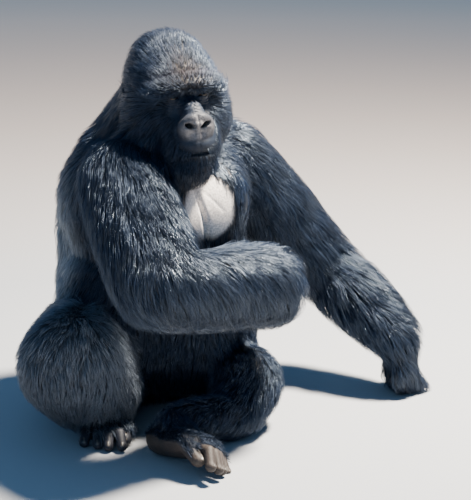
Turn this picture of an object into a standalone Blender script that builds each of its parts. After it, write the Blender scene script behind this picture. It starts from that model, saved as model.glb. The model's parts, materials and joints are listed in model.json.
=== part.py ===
"""Adult male gorilla, seated and still, life size: one solid per body part, out to the tips of its coat.

Metres. +X is its left, +Y its back, +Z up; the seat rests on the floor at the origin.
"""

from math import ceil, cos, radians, sin

import bmesh
import bpy
from mathutils import Euler, Matrix, Vector

NAME = "gorilla_seated"
GAP = 0.0004  # clearance where a plane parts two pieces
GROWTH = 0.0007  # clearance round a neighbour that is cut out, creases included
FAR = 2.0  # side of the boxes that stand for half of space
FINE = 0.0035  # voxel of face, hands and feet
COARSE = 0.0080  # voxel of trunk and limbs

# Joints.
HEAD = Vector((-0.036, -0.171, 0.790))
HEAD_TURN, HEAD_DIP, HEAD_TILT = -16.5, -1.5, -4.6
NECK_BASE, NECK_TOP = Vector((-0.01, 0.02, 0.61)), Vector((-0.025, -0.07, 0.74))
NAPE_BASE, NAPE_TOP = Vector((0.0, 0.050, 0.640)), Vector((-0.010, -0.045, 0.775))
SHOULDER_R, ELBOW_R, WRIST_R = (
    Vector((-0.165, -0.150, 0.610)),
    Vector((-0.280, -0.460, 0.433)),
    Vector((0.058, -0.412, 0.376)),
)
SHOULDER_L, ELBOW_L, WRIST_L = (
    Vector((0.200, -0.026, 0.610)),
    Vector((0.461, -0.096, 0.303)),
    Vector((0.528, -0.327, 0.148)),
)
HIP_R, KNEE_R, ANKLE_R = (
    Vector((-0.120, 0.050, 0.170)),
    Vector((-0.350, -0.196, 0.198)),
    Vector((-0.190, -0.135, 0.080)),
)
HIP_L, KNEE_L, ANKLE_L = (
    Vector((0.110, 0.040, 0.130)),
    Vector((0.070, -0.312, 0.110)),
    Vector((-0.188, -0.388, 0.078)),
)
CALF_R, CALF_L = Vector((-0.278, -0.170, 0.128)), Vector((0.008, -0.376, 0.062))

# Where a foot rests, which way it points and which way its upper side looks.
HEEL_R, TOEWARD_R, DORSAL_R = Vector((-0.182, -0.076, 0.0)), Vector((-0.53, -0.85, 0.0)), Vector((0, 0, 1))
HEEL_L, TOEWARD_L = Vector((-0.240, -0.349, 0.012)), Vector((0.17, -0.985, 0.0))
DORSAL_L = Vector((0.46, 0.08, 0.88))

# Which way the knuckles lie from a wrist and which way the back of the hand looks.
HANDWARD_R, BACK_R = Vector((0.62, 0.78, -0.05)), Vector((0.78, -0.62, 0.10))
HANDWARD_L, BACK_L = Vector((0.28, 0.10, -0.95)), Vector((0.94, -0.20, 0.25))

# Limb thickness with the coat on, as radii.
SHOULDER_RADIUS, ELBOW_RADIUS, WRIST_RADIUS = 0.116, 0.102, 0.100
LEFT_ARM_SLIM = 0.90  # the straight arm lies flatter than the folded one
HIP_RADIUS, KNEE_RADIUS, ANKLE_RADIUS = 0.150, 0.130, 0.070
LEFT_LEG_SLIM = 0.72
CALF_RADIUS_R, CALF_RADIUS_L = 0.120, 0.062

PALM_LENGTH, PALM_HALF_WIDTH = 0.096, 0.046
FINGER_BONES = (0.052, 0.040, 0.028)
FINGER_RADIUS = 0.0155
FOOT_LENGTH, TOE_RADIUS, LEFT_CUP = 0.262, 0.0145, 0.020
EYE_RADIUS, EYE_OUT, EYE_FORWARD, EYE_UP = 0.0125, 0.0355, 0.1035, 0.024

CURLED, KNUCKLING = (48, 78, 62), (-32, 112, 78)  # bends of a fist and of a hand that stands on its knuckles
THUMB_BEND = 30

# Where the trunk parts: a level waist, and a collar that slopes up toward the nape.
WAIST = Vector((0.0, 0.0, 0.400)), Vector((0.0, 0.0, 1.0))
COLLAR = Vector((-0.01, 0.0, 0.690)), Vector((-0.08, -0.45, 0.89))

# About how many triangles each whole form keeps, before it is parted.
HEAD_FACES, EYE_FACES, EAR_FACES = 1420, 80, 70
TRUNK_FACES, ARM_FACES, LEG_FACES = 960, 350, 350
HAND_FACES, FOOT_FACES = 500, 450

COAT = (0.022, 0.023, 0.026, 1.0)
SADDLE = (0.120, 0.125, 0.130, 1.0)
BARE_SKIN = (0.040, 0.037, 0.037, 1.0)
IRIS = (0.060, 0.025, 0.010, 1.0)


def clear_scene():
    for obj in list(bpy.data.objects):
        bpy.data.objects.remove(obj, do_unlink=True)


def settle(obj):
    """Turns what the object's modifiers make into its own mesh."""
    graph = bpy.context.evaluated_depsgraph_get()
    made = bpy.data.meshes.new_from_object(obj.evaluated_get(graph))
    obj.modifiers.clear()
    obj.data = made


def axes(origin, along, dorsal):
    """A frame with X along the bones, Z out of the back of the hand or the top of the foot."""
    x = along.normalized()
    y = dorsal.cross(x).normalized()
    z = x.cross(y)
    frame = Matrix((x, y, z)).transposed().to_4x4()
    frame.translation = origin
    return frame


class Clay:
    """Overlapping balls that one remesh turns into a single smooth closed surface."""

    def __init__(self, frame=None):
        self.mesh = bmesh.new()
        self.frame = frame or Matrix()

    def ball(self, centre, radii, turn=(0.0, 0.0, 0.0)):
        if isinstance(radii, float):
            radii = (radii, radii, radii)
        euler = Euler([radians(angle) for angle in turn])
        place = self.frame @ Matrix.LocRotScale(Vector(centre), euler, Vector(radii))
        bmesh.ops.create_icosphere(self.mesh, subdivisions=3, radius=1.0, matrix=place)

    def pair(self, centre, radii):
        for side in (-1, 1):
            self.ball((side * centre[0], centre[1], centre[2]), radii)

    def taper(self, start, start_radius, end, end_radius):
        """A run of balls, close enough together to leave no ripple."""
        start, end = Vector(start), Vector(end)
        count = max(2, ceil((end - start).length / (0.3 * min(start_radius, end_radius))))
        for step in range(count + 1):
            share = step / count
            self.ball(start.lerp(end, share), start_radius + (end_radius - start_radius) * share)

    def solid(self, name, voxel, smoothing, triangles):
        mesh = bpy.data.meshes.new(name)
        self.mesh.to_mesh(mesh)
        self.mesh.free()
        obj = bpy.data.objects.new(name, mesh)
        bpy.context.scene.collection.objects.link(obj)
        remesh = obj.modifiers.new("Fuse", "REMESH")
        remesh.mode = "VOXEL"
        remesh.voxel_size = voxel
        smooth = obj.modifiers.new("Soften", "SMOOTH")
        smooth.iterations = smoothing
        settle(obj)
        lighter = obj.modifiers.new("Lighten", "DECIMATE")
        lighter.ratio = min(1.0, triangles / (2 * len(obj.data.polygons)))
        lighter.use_collapse_triangulate = True
        settle(obj)
        return obj


def remove(objects):
    for obj in objects:
        bpy.data.objects.remove(obj, do_unlink=True)


def copied(obj, name):
    twin = bpy.data.objects.new(name, obj.data.copy())
    bpy.context.scene.collection.objects.link(twin)
    return twin


def boolean(obj, other, operation):
    cut = obj.modifiers.new("Cut", "BOOLEAN")
    cut.operation, cut.solver, cut.object = operation, "EXACT", other
    settle(obj)
    remove([other])


def keep_side(obj, point, normal):
    """Keeps what lies on the side of the plane that its normal points to."""
    normal = Vector(normal).normalized()
    box = bmesh.new()
    bmesh.ops.create_cube(box, size=FAR)
    mesh = bpy.data.meshes.new("half")
    box.to_mesh(mesh)
    box.free()
    half = bpy.data.objects.new("half", mesh)
    bpy.context.scene.collection.objects.link(half)
    half.rotation_euler = normal.to_track_quat("Z", "Y").to_euler()
    half.location = Vector(point) + normal * (FAR / 2)
    boolean(obj, half, "INTERSECT")


def carved(whole, neighbours):
    """A copy of the whole with each neighbour, grown by the gap, cut out of it."""
    cut = copied(whole, "cut")
    for neighbour in neighbours:
        grown = copied(neighbour, "grown")
        swell = grown.modifiers.new("Grow", "DISPLACE")
        swell.strength, swell.mid_level = GROWTH, 0.0
        settle(grown)
        boolean(cut, grown, "DIFFERENCE")
    return cut


def keep_largest(obj):
    """Drops the crumbs that a cut leaves beside the main body."""
    mesh = bmesh.new()
    mesh.from_mesh(obj.data)
    seen, islands = set(), []
    for seed in mesh.verts:
        if seed in seen:
            continue
        island, queue = [], [seed]
        seen.add(seed)
        while queue:
            vert = queue.pop()
            island.append(vert)
            for edge in vert.link_edges:
                other = edge.other_vert(vert)
                if other not in seen:
                    seen.add(other)
                    queue.append(other)
        islands.append(island)
    islands.sort(key=len)
    for island in islands[:-1]:
        bmesh.ops.delete(mesh, geom=island, context="VERTS")
    mesh.to_mesh(obj.data)
    mesh.free()


def finish(obj, colour, roughness):
    material = bpy.data.materials.new(obj.name)
    material.use_nodes = True
    shader = material.node_tree.nodes["Principled BSDF"]
    shader.inputs["Base Color"].default_value = colour
    shader.inputs["Roughness"].default_value = roughness
    obj.data.materials.clear()
    obj.data.materials.append(material)


def make_node(name, cut, planes=(), colour=COAT, roughness=0.7):
    """One body part: what the planes and the floor leave of a carved copy."""
    node = copied(cut, name)
    for point, normal in planes:
        keep_side(node, Vector(point) + Vector(normal).normalized() * (GAP / 2), normal)
    keep_side(node, (0, 0, 0), (0, 0, 1))
    keep_largest(node)
    finish(node, colour, roughness)
    bpy.context.scene.collection.objects.unlink(node)
    bpy.data.collections[NAME].objects.link(node)


def bend_plane(joint, nearer, further):
    """The plane that halves the bend at a joint, its normal toward the nearer bone."""
    return joint, (nearer - joint).normalized() - (further - joint).normalized()


def flipped(plane):
    return plane[0], -Vector(plane[1])


def head_frame():
    turn = Matrix.Rotation(radians(HEAD_TURN), 4, "Z")
    dip = Matrix.Rotation(radians(HEAD_DIP), 4, "X")
    tilt = Matrix.Rotation(radians(HEAD_TILT), 4, "Y")
    return Matrix.Translation(HEAD) @ turn @ dip @ tilt


def shape_skull(clay):
    clay.ball((0, 0.034, 0.035), (0.114, 0.142, 0.112))
    clay.ball((0, 0.048, 0.088), (0.094, 0.112, 0.079))
    clay.pair((0.073, 0.000, -0.030), (0.060, 0.095, 0.100))
    clay.ball((0, -0.040, -0.020), (0.095, 0.070, 0.120))
    clay.ball((0, -0.060, -0.125), (0.072, 0.070, 0.070))
    clay.ball((0, -0.050, 0.070), (0.086, 0.066, 0.046))


def shape_brow(clay):
    half_width, steps = 0.074, 10
    for step in range(-steps, steps + 1):
        share = step / steps
        droop = share * share
        clay.ball((half_width * share, -0.116 + 0.034 * droop, 0.053 - 0.012 * droop), 0.018)


def shape_muzzle(clay):
    clay.ball((0, -0.075, 0.010), (0.074, 0.046, 0.062))
    clay.taper((0, -0.112, 0.032), 0.018, (0, -0.150, -0.024), 0.026)
    clay.ball((0, -0.166, -0.034), (0.026, 0.024, 0.022))
    clay.pair((0.028, -0.154, -0.042), (0.020, 0.026, 0.024))
    clay.ball((0, -0.112, -0.080), (0.060, 0.061, 0.044))
    clay.ball((0, -0.128, -0.112), (0.044, 0.042, 0.017))
    clay.ball((0, -0.114, -0.132), (0.046, 0.048, 0.028))
    clay.ball((0, -0.098, -0.152), (0.052, 0.048, 0.048))


def shape_eye(clay, side):
    clay.ball((side * EYE_OUT, -EYE_FORWARD, EYE_UP), EYE_RADIUS)


def shape_ear(clay, side):
    clay.ball((side * 0.122, 0.036, 0.014), (0.011, 0.020, 0.027), (0, side * 8, side * 20))


def shape_trunk(clay):
    clay.ball((0, 0.035, 0.160), (0.235, 0.215, 0.185))
    clay.ball((0, -0.045, 0.300), (0.262, 0.262, 0.215))
    clay.ball((0, -0.100, 0.205), (0.215, 0.200, 0.165))
    clay.ball((-0.010, -0.030, 0.530), (0.248, 0.228, 0.200))
    clay.ball((-0.010, 0.045, 0.610), (0.170, 0.145, 0.130))
    clay.ball((-0.010, 0.070, 0.450), (0.205, 0.170, 0.200))
    clay.ball((0, 0.060, 0.320), (0.225, 0.175, 0.190))
    clay.taper(NAPE_BASE, 0.125, NAPE_TOP, 0.090)
    for shoulder in (SHOULDER_R, SHOULDER_L):
        clay.taper(NECK_BASE.lerp(shoulder, 0.3), 0.105, shoulder.lerp(NECK_BASE, 0.25), 0.095)
    clay.taper(NECK_BASE, 0.130, NECK_TOP, 0.108)


def shape_arm(clay, shoulder, elbow, wrist, slim):
    upper = shoulder.lerp(elbow, 0.45)
    fore = elbow.lerp(wrist, 0.40)
    clay.taper(shoulder, SHOULDER_RADIUS * slim, upper, 1.02 * SHOULDER_RADIUS * slim)
    clay.taper(upper, 1.02 * SHOULDER_RADIUS * slim, elbow, ELBOW_RADIUS * slim)
    clay.taper(elbow, ELBOW_RADIUS * slim, fore, 1.02 * ELBOW_RADIUS * slim)
    clay.taper(fore, 1.02 * ELBOW_RADIUS * slim, wrist, WRIST_RADIUS * (slim if slim == 1 else 0.70))


def shape_hand(clay, side, bends, thumb_bend):
    """Palm, four fingers with three bones each, and a thumb; bends are the turns at the three joints."""
    clay.taper((0, 0, 0), 0.036, (0.035, 0, 0), 0.036)
    for finger in range(4):
        across = side * PALM_HALF_WIDTH * (1 - finger / 1.5)
        knuckle = Vector((PALM_LENGTH - 0.004 * abs(finger - 1), across * 0.86, 0))
        clay.taper((0.020, across * 0.5, 0), 0.024, knuckle, 0.020)
        angle = 0.0
        start, radius = knuckle, FINGER_RADIUS * 1.1
        for bone, bend in zip(FINGER_BONES, bends):
            angle += radians(bend)
            end = start + Vector((cos(angle), 0, -sin(angle))) * bone * (0.84 if finger == 3 else 1.0)
            clay.taper(start, radius, end, radius * 0.93)
            start, radius = end, radius * 0.93
    root = Vector((0.018, side * 0.030, -0.012))
    joint = root + Vector((0.042, side * 0.024, -0.014))
    tip = joint + Vector((cos(radians(thumb_bend)), 0, -sin(radians(thumb_bend)))) * 0.036
    clay.taper(root, 0.020, joint, 0.0155)
    clay.taper(joint, 0.0150, tip, 0.0125)


def shape_foot(clay, side, cup):
    """Heel, arch, ball and five toes; cup is how far the ball of the foot is drawn up off the sole."""
    clay.ball((0.036, 0, 0.034), (0.042, 0.035, 0.036))
    clay.taper((0.050, 0, 0.072), 0.040, (0.085, 0, 0.052 + cup / 2), 0.036)
    for lane in (-1, 0, 1):
        clay.taper((0.050, lane * 0.008, 0.036), 0.032, (0.165, lane * 0.028, 0.026 + cup), 0.025)
    for toe in range(4):
        across = side * (0.030 - 0.0235 * toe)
        base = Vector((0.176 - 0.005 * toe, across, 0.024 + cup))
        middle = Vector((FOOT_LENGTH - 0.040 - 0.009 * toe, across * 1.05, 0.028 + cup / 2))
        tip = Vector((FOOT_LENGTH - 0.016 - 0.010 * toe, across * 1.08, 0.014))
        clay.taper(base, 0.020, middle, TOE_RADIUS)
        clay.taper(middle, TOE_RADIUS, tip, TOE_RADIUS * 0.92)
    knob = Vector((0.148, side * 0.048, 0.025 + cup))
    clay.taper((0.090, side * 0.024, 0.030 + cup / 2), 0.028, knob, 0.021)
    clay.taper(knob, 0.019, (0.206, side * 0.040, 0.018), 0.0165)


def shape_leg(clay, hip, knee, calf, ankle, calf_radius, slim):
    clay.taper(hip, HIP_RADIUS * slim, knee, KNEE_RADIUS * slim)
    clay.taper(knee, KNEE_RADIUS * slim, calf, calf_radius)
    clay.taper(calf, calf_radius, ankle, ANKLE_RADIUS * slim)


def build_head():
    """Head, eyes and ears; the head comes back uncut, for its neighbours to be carved by."""
    clay = Clay(head_frame())
    for shape in (shape_skull, shape_brow, shape_muzzle):
        shape(clay)
    whole = clay.solid("head_whole", FINE, 4, HEAD_FACES)
    eyes = []
    for side, name in ((-1, "right"), (1, "left")):
        clay = Clay(head_frame())
        shape_eye(clay, side)
        eyes.append(clay.solid("eye_whole", FINE / 3, 1, EYE_FACES))
        make_node(f"eye_{name}", eyes[-1], colour=IRIS, roughness=0.1)
        clay = Clay(head_frame())
        shape_ear(clay, side)
        lobe = clay.solid("ear_whole", FINE, 2, EAR_FACES)
        cut = carved(lobe, [whole])
        make_node(f"ear_{name}", cut, colour=BARE_SKIN)
        remove([lobe, cut])
    cut = carved(whole, eyes)
    make_node("head", cut)
    remove(eyes + [cut])
    return whole


def build_trunk(head):
    clay = Clay()
    shape_trunk(clay)
    whole = clay.solid("trunk_whole", COARSE, 12, TRUNK_FACES)
    cut = carved(whole, [head])
    make_node("neck", cut, [COLLAR])
    make_node("chest", cut, [WAIST, flipped(COLLAR)])
    make_node("abdomen", cut, [flipped(WAIST)], colour=SADDLE)
    remove([cut])
    return whole


def build_arm(side, body, shoulder, elbow, wrist, handward, back, bends, slim):
    clay = Clay(axes(wrist, handward, back))
    shape_hand(clay, -1 if side == "left" else 1, bends, THUMB_BEND)
    fist = clay.solid("hand_whole", FINE, 4, HAND_FACES)
    fist_cut = carved(fist, body)
    make_node(f"hand_{side}", fist_cut, colour=BARE_SKIN)
    clay = Clay()
    shape_arm(clay, shoulder, elbow, wrist, slim)
    arm = clay.solid("arm_whole", COARSE, 8, ARM_FACES)
    cut = carved(arm, body + [fist])
    fold = bend_plane(elbow, shoulder, wrist)
    make_node(f"upper_arm_{side}", cut, [fold])
    make_node(f"forearm_{side}", cut, [flipped(fold)])
    remove([fist, fist_cut, arm, cut])


def build_leg(side, body, hip, knee, calf, ankle, calf_radius, sole, cup, slim):
    """Thigh, shin and foot; leg and foot come back uncut, for the other leg to be carved by."""
    clay = Clay(axes(*sole))
    shape_foot(clay, -1 if side == "left" else 1, cup)
    foot = clay.solid("foot_whole", FINE, 3, FOOT_FACES)
    foot_cut = carved(foot, body)
    make_node(f"foot_{side}", foot_cut, colour=BARE_SKIN)
    clay = Clay()
    shape_leg(clay, hip, knee, calf, ankle, calf_radius, slim)
    leg = clay.solid("leg_whole", COARSE, 8, LEG_FACES)
    cut = carved(leg, body + [foot])
    fold = bend_plane(knee, hip, ankle)
    make_node(f"thigh_{side}", cut, [fold])
    make_node(f"shin_{side}", cut, [flipped(fold)])
    remove([foot_cut, cut])
    return [leg, foot]


def main():
    clear_scene()
    group = bpy.data.collections.new(NAME)
    bpy.context.scene.collection.children.link(group)
    head = build_head()
    trunk = build_trunk(head)
    body = [trunk, head]
    build_arm("right", body, SHOULDER_R, ELBOW_R, WRIST_R, HANDWARD_R, BACK_R, CURLED, 1.0)
    build_arm("left", body, SHOULDER_L, ELBOW_L, WRIST_L, HANDWARD_L, BACK_L, KNUCKLING, LEFT_ARM_SLIM)
    sole_r, sole_l = (HEEL_R, TOEWARD_R, DORSAL_R), (HEEL_L, TOEWARD_L, DORSAL_L)
    right = build_leg("right", [trunk], HIP_R, KNEE_R, CALF_R, ANKLE_R, CALF_RADIUS_R, sole_r, 0.0, 1.0)
    left = build_leg(
        "left", [trunk] + right,
        HIP_L, KNEE_L, CALF_L, ANKLE_L, CALF_RADIUS_L, sole_l, LEFT_CUP, LEFT_LEG_SLIM,
    )
    remove([trunk, head] + right + left)


main()
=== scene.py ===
"""A seated silverback gorilla, life size: one skin, two eyes, nails and a coat of mesh tufts.

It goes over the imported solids, in metres and in their frame: +X is his left, +Y his back, +Z up, and he sits
on the floor at z = 0.
"""

from __future__ import annotations

import json
import logging
from dataclasses import dataclass, field
from enum import Enum
from math import cos, pi, radians, sin

import bpy
import numpy as np
import openvdb as vdb
from mathutils import Euler, Matrix, Vector
from mathutils.kdtree import KDTree

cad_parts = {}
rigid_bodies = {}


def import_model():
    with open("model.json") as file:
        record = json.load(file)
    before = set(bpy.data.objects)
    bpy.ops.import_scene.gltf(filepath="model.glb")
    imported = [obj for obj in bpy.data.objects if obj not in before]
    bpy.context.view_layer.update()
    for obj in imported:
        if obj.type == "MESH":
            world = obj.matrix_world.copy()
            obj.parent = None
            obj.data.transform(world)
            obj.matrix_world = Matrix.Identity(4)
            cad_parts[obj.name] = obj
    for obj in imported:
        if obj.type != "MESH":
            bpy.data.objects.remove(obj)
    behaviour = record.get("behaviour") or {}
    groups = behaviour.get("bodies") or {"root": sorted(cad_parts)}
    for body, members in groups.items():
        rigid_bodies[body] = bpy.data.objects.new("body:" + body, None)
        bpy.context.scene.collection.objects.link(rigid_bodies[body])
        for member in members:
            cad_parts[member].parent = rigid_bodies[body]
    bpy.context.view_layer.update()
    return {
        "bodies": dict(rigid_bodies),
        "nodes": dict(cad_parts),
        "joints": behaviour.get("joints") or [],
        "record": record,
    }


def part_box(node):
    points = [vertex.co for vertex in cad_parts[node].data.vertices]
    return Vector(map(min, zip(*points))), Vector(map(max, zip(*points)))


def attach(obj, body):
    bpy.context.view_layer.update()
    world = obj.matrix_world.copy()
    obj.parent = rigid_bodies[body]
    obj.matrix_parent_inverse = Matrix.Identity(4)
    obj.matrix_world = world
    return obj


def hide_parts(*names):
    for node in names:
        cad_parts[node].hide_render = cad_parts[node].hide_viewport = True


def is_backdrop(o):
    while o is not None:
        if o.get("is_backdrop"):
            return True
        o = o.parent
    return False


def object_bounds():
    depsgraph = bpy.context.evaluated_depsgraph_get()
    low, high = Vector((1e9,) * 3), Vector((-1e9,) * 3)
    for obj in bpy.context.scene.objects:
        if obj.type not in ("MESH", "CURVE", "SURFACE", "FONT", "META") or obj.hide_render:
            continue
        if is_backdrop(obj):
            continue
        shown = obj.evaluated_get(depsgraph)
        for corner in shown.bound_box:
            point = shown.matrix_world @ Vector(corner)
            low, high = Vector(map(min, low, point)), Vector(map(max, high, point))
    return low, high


Array, Object, Material = np.ndarray, bpy.types.Object, bpy.types.Material
Socket, Tree = bpy.types.NodeSocket, bpy.types.NodeTree
LOG = logging.getLogger("gorilla")
SEED = 41

# Head frame: -Y looks out of the face, +X to his left. Its place comes from the eye solids.
HEAD_ANGLES = (-1.5, -4.6, -16.5)  # dip, tilt and turn, in degrees
EYE_OUT, EYE_FORWARD, EYE_UP = 0.0355, 0.1035, 0.024
EYE_RADIUS = 0.0125

# Grid spacings.
BODY_VOXEL = 0.0068
FACE_VOXEL = 0.0016
EAR_VOXEL = FACE_VOXEL * 1.3
LIMB_VOXEL = 0.0022
CHEST_VOXEL = 0.0036
DEPTH_VOXEL = 0.024

REACH = 0.045  # how far from the outline the distances are known
FLOOR_GAP = 0.0008  # the skin's flats clear the floor by this
BREAST_SINK = 0.006  # how far bare skin lies under the tips of the coat round it
VIEW_AZIMUTH = -35.0  # where the camera stands, in degrees round from the front

SIDES = ("left", "right")
TRUNK = ("head", "neck", "chest", "abdomen")
PAIRS = ("ear", "upper_arm", "forearm", "hand", "thigh", "shin", "foot")
FLESH = (*TRUNK, *(f"{part}_{side}" for part in PAIRS for side in SIDES))
DOWN = np.array((0.0, 0.0, -1.0))
UP = -DOWN


class Slot(Enum):
    """Material slots of the record."""

    COAT = "coat"
    SADDLE = "saddle"
    BARE_SKIN = "bare_skin"
    EYE = "eye"


# ---- small tools


def smooth_step(values: Array, low: float, high: float) -> Array:
    """Eases from 0 at low to 1 at high, which may be below low."""
    share = np.clip((values - low) / (high - low), 0.0, 1.0)
    return share * share * (3.0 - 2.0 * share)


def unit(vectors: Array) -> Array:
    """Scales each vector along the last axis to length one."""
    return vectors / np.maximum(np.linalg.norm(vectors, axis=-1, keepdims=True), 1e-9)


def tangent(vectors: Array, normals: Array) -> Array:
    """Lays vectors flat on a surface with these unit normals."""
    return vectors - normals * np.sum(vectors * normals, axis=-1, keepdims=True)


def zone(points: Array, centre: tuple, radii: tuple, frame: Array | None = None) -> Array:
    """How far out points lie in an ellipsoid, in a frame or the world: 0 at its centre, 1 on it."""
    points = points if frame is None else local_to(points, frame)
    return np.linalg.norm((points - np.array(centre)) / np.array(radii), axis=-1)


def local_to(points: Array, frame: Array) -> Array:
    """The places in a frame of places in the world."""
    inverse = np.linalg.inv(frame)
    return points @ inverse[:3, :3].T + inverse[:3, 3]


def from_local(place: tuple, frame: Array) -> Array:
    """The place in the world of a place in a frame."""
    return frame[:3, :3] @ np.array(place) + frame[:3, 3]


def waves(points: Array, scale: float, seed: int, count: int = 10) -> Array:
    """A smooth random vector field, as a sum of sines.

    Args:
        points: Points along the last axis.
        scale: Length over which the field changes.
        seed: Number that picks the field.
        count: How many sines each component has.

    Returns:
        One vector per point, with components of about unit size.
    """
    random = np.random.default_rng(seed)
    spread = random.normal(size=(3, count, 3)) / scale
    phase = random.uniform(0.0, 2.0 * pi, size=(3, count))
    out = [np.sin(points @ spread[axis].T + phase[axis]).sum(axis=-1) for axis in range(3)]
    return np.stack(out, axis=-1) * (2.0 / count) ** 0.5


def triangles_of(mesh: bpy.types.Mesh) -> tuple[Array, Array]:
    """Reads a mesh.

    Args:
        mesh: The mesh, in world coordinates.

    Returns:
        Its points and the corner numbers of its triangles.
    """
    mesh.calc_loop_triangles()
    points = np.empty(len(mesh.vertices) * 3, np.float32)
    mesh.vertices.foreach_get("co", points)
    corners = np.empty(len(mesh.loop_triangles) * 3, np.int32)
    mesh.loop_triangles.foreach_get("vertices", corners)
    return points.reshape(-1, 3).astype(np.float64), corners.reshape(-1, 3)


def mesh_object(name: str, points: Array, faces: Array) -> Object:
    """Makes an object with smooth faces from arrays.

    Args:
        name: The object's name.
        points: Vertex places.
        faces: Corner numbers, one row for each face.

    Returns:
        The object, linked to the scene.
    """
    mesh = bpy.data.meshes.new(name)
    count, sides = faces.shape
    mesh.vertices.add(len(points))
    mesh.vertices.foreach_set("co", np.ascontiguousarray(points, np.float32).ravel())
    mesh.loops.add(count * sides)
    mesh.loops.foreach_set("vertex_index", np.ascontiguousarray(faces, np.int32).ravel())
    mesh.polygons.add(count)
    mesh.polygons.foreach_set("loop_start", np.arange(0, count * sides, sides, dtype=np.int32))
    mesh.polygons.foreach_set("use_smooth", np.full(count, True))
    mesh.update(calc_edges=True)
    obj = bpy.data.objects.new(name, mesh)
    bpy.context.scene.collection.objects.link(obj)
    return obj


def settle(obj: Object) -> None:
    """Turns what an object's modifiers make into its own mesh.

    Args:
        obj: The object to change.
    """
    graph = bpy.context.evaluated_depsgraph_get()
    made = bpy.data.meshes.new_from_object(obj.evaluated_get(graph))
    obj.modifiers.clear()
    obj.data = made


def store(mesh: bpy.types.Mesh, name: str, rows: Array) -> None:
    """Keeps rows of four numbers, one for each vertex, for a material to read."""
    attribute = mesh.attributes.new(name, "FLOAT_COLOR", "POINT")
    attribute.data.foreach_set("color", np.ascontiguousarray(rows, np.float32).ravel())


@dataclass(frozen=True)
class Zone:
    """A soft ellipsoid: whole up to inner, as a share of its radii, and gone at outer."""

    centre: tuple
    radii: tuple
    inner: float
    outer: float

    def share(self, points: Array, frame: Array | None = None, ragged: Array | float = 0.0) -> Array:
        """How much of the zone each point has, with its edge moved by ragged there."""
        out = zone(points, self.centre, self.radii, frame) + ragged
        return 1.0 - smooth_step(out, self.inner, self.outer)


# Zones of the head, in its frame.
BARE_EYES = Zone((0.0, -0.118, 0.005), (0.064, 0.062, 0.038), 0.62, 1.2)
BARE_MUZZLE = Zone((0.0, -0.15, -0.047), (0.053, 0.07, 0.06), 0.72, 1.16)
SHORT_BROW = Zone((0.0, -0.125, 0.068), (0.1, 0.06, 0.052), 0.5, 1.2)
SHORT_JAW = Zone((0.0, -0.14, -0.11), (0.07, 0.06, 0.05), 0.5, 1.2)
RAISED_VALLEY = Zone((0.0, -0.115, 0.1), (0.062, 0.06, 0.018), 0.5, 1.2)
FINE_MUZZLE = Zone((0.0, -0.14, -0.07), (0.085, 0.07, 0.085), 0.7, 1.2)
STUBBLED_LIPS = Zone((0.0, -0.14, -0.13), (0.075, 0.06, 0.026), 0.4, 1.2)
# The wet nose: smoother, and the pale tone laid on it is a painted highlight.
WET_NOSE = Zone((0.0, -0.152, -0.042), (0.044, 0.04, 0.034), 0.6, 1.15)
# Brown hair on the brow and crown: where, and how strong it is.
BROWN_HAIR = (
    (Zone((0.0, -0.112, 0.068), (0.098, 0.06, 0.034), 0.3, 1.15), 0.55),
    (Zone((0.0, -0.116, 0.072), (0.05, 0.045, 0.024), 0.3, 1.15), 1.0),
    (Zone((0.0, -0.105, 0.104), (0.062, 0.055, 0.034), 0.3, 1.15), 0.9),
    (Zone((0.0, 0.0, 0.15), (0.07, 0.11, 0.1), 0.3, 1.15), 0.15),
)
# The bare breast, in the world, and the paler middle of it.
BREAST = (0.006, -0.262, 0.543), (0.084, 0.08, 0.098)
BARE_BREAST = Zone(*BREAST, 0.76, 1.14)
PALE_BREAST = Zone(*BREAST, 0.74, 1.04)


# ---- volumes


class Work(Enum):
    """What a ball does to a form."""

    ADD = 1.0
    CUT = -1.0


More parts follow.
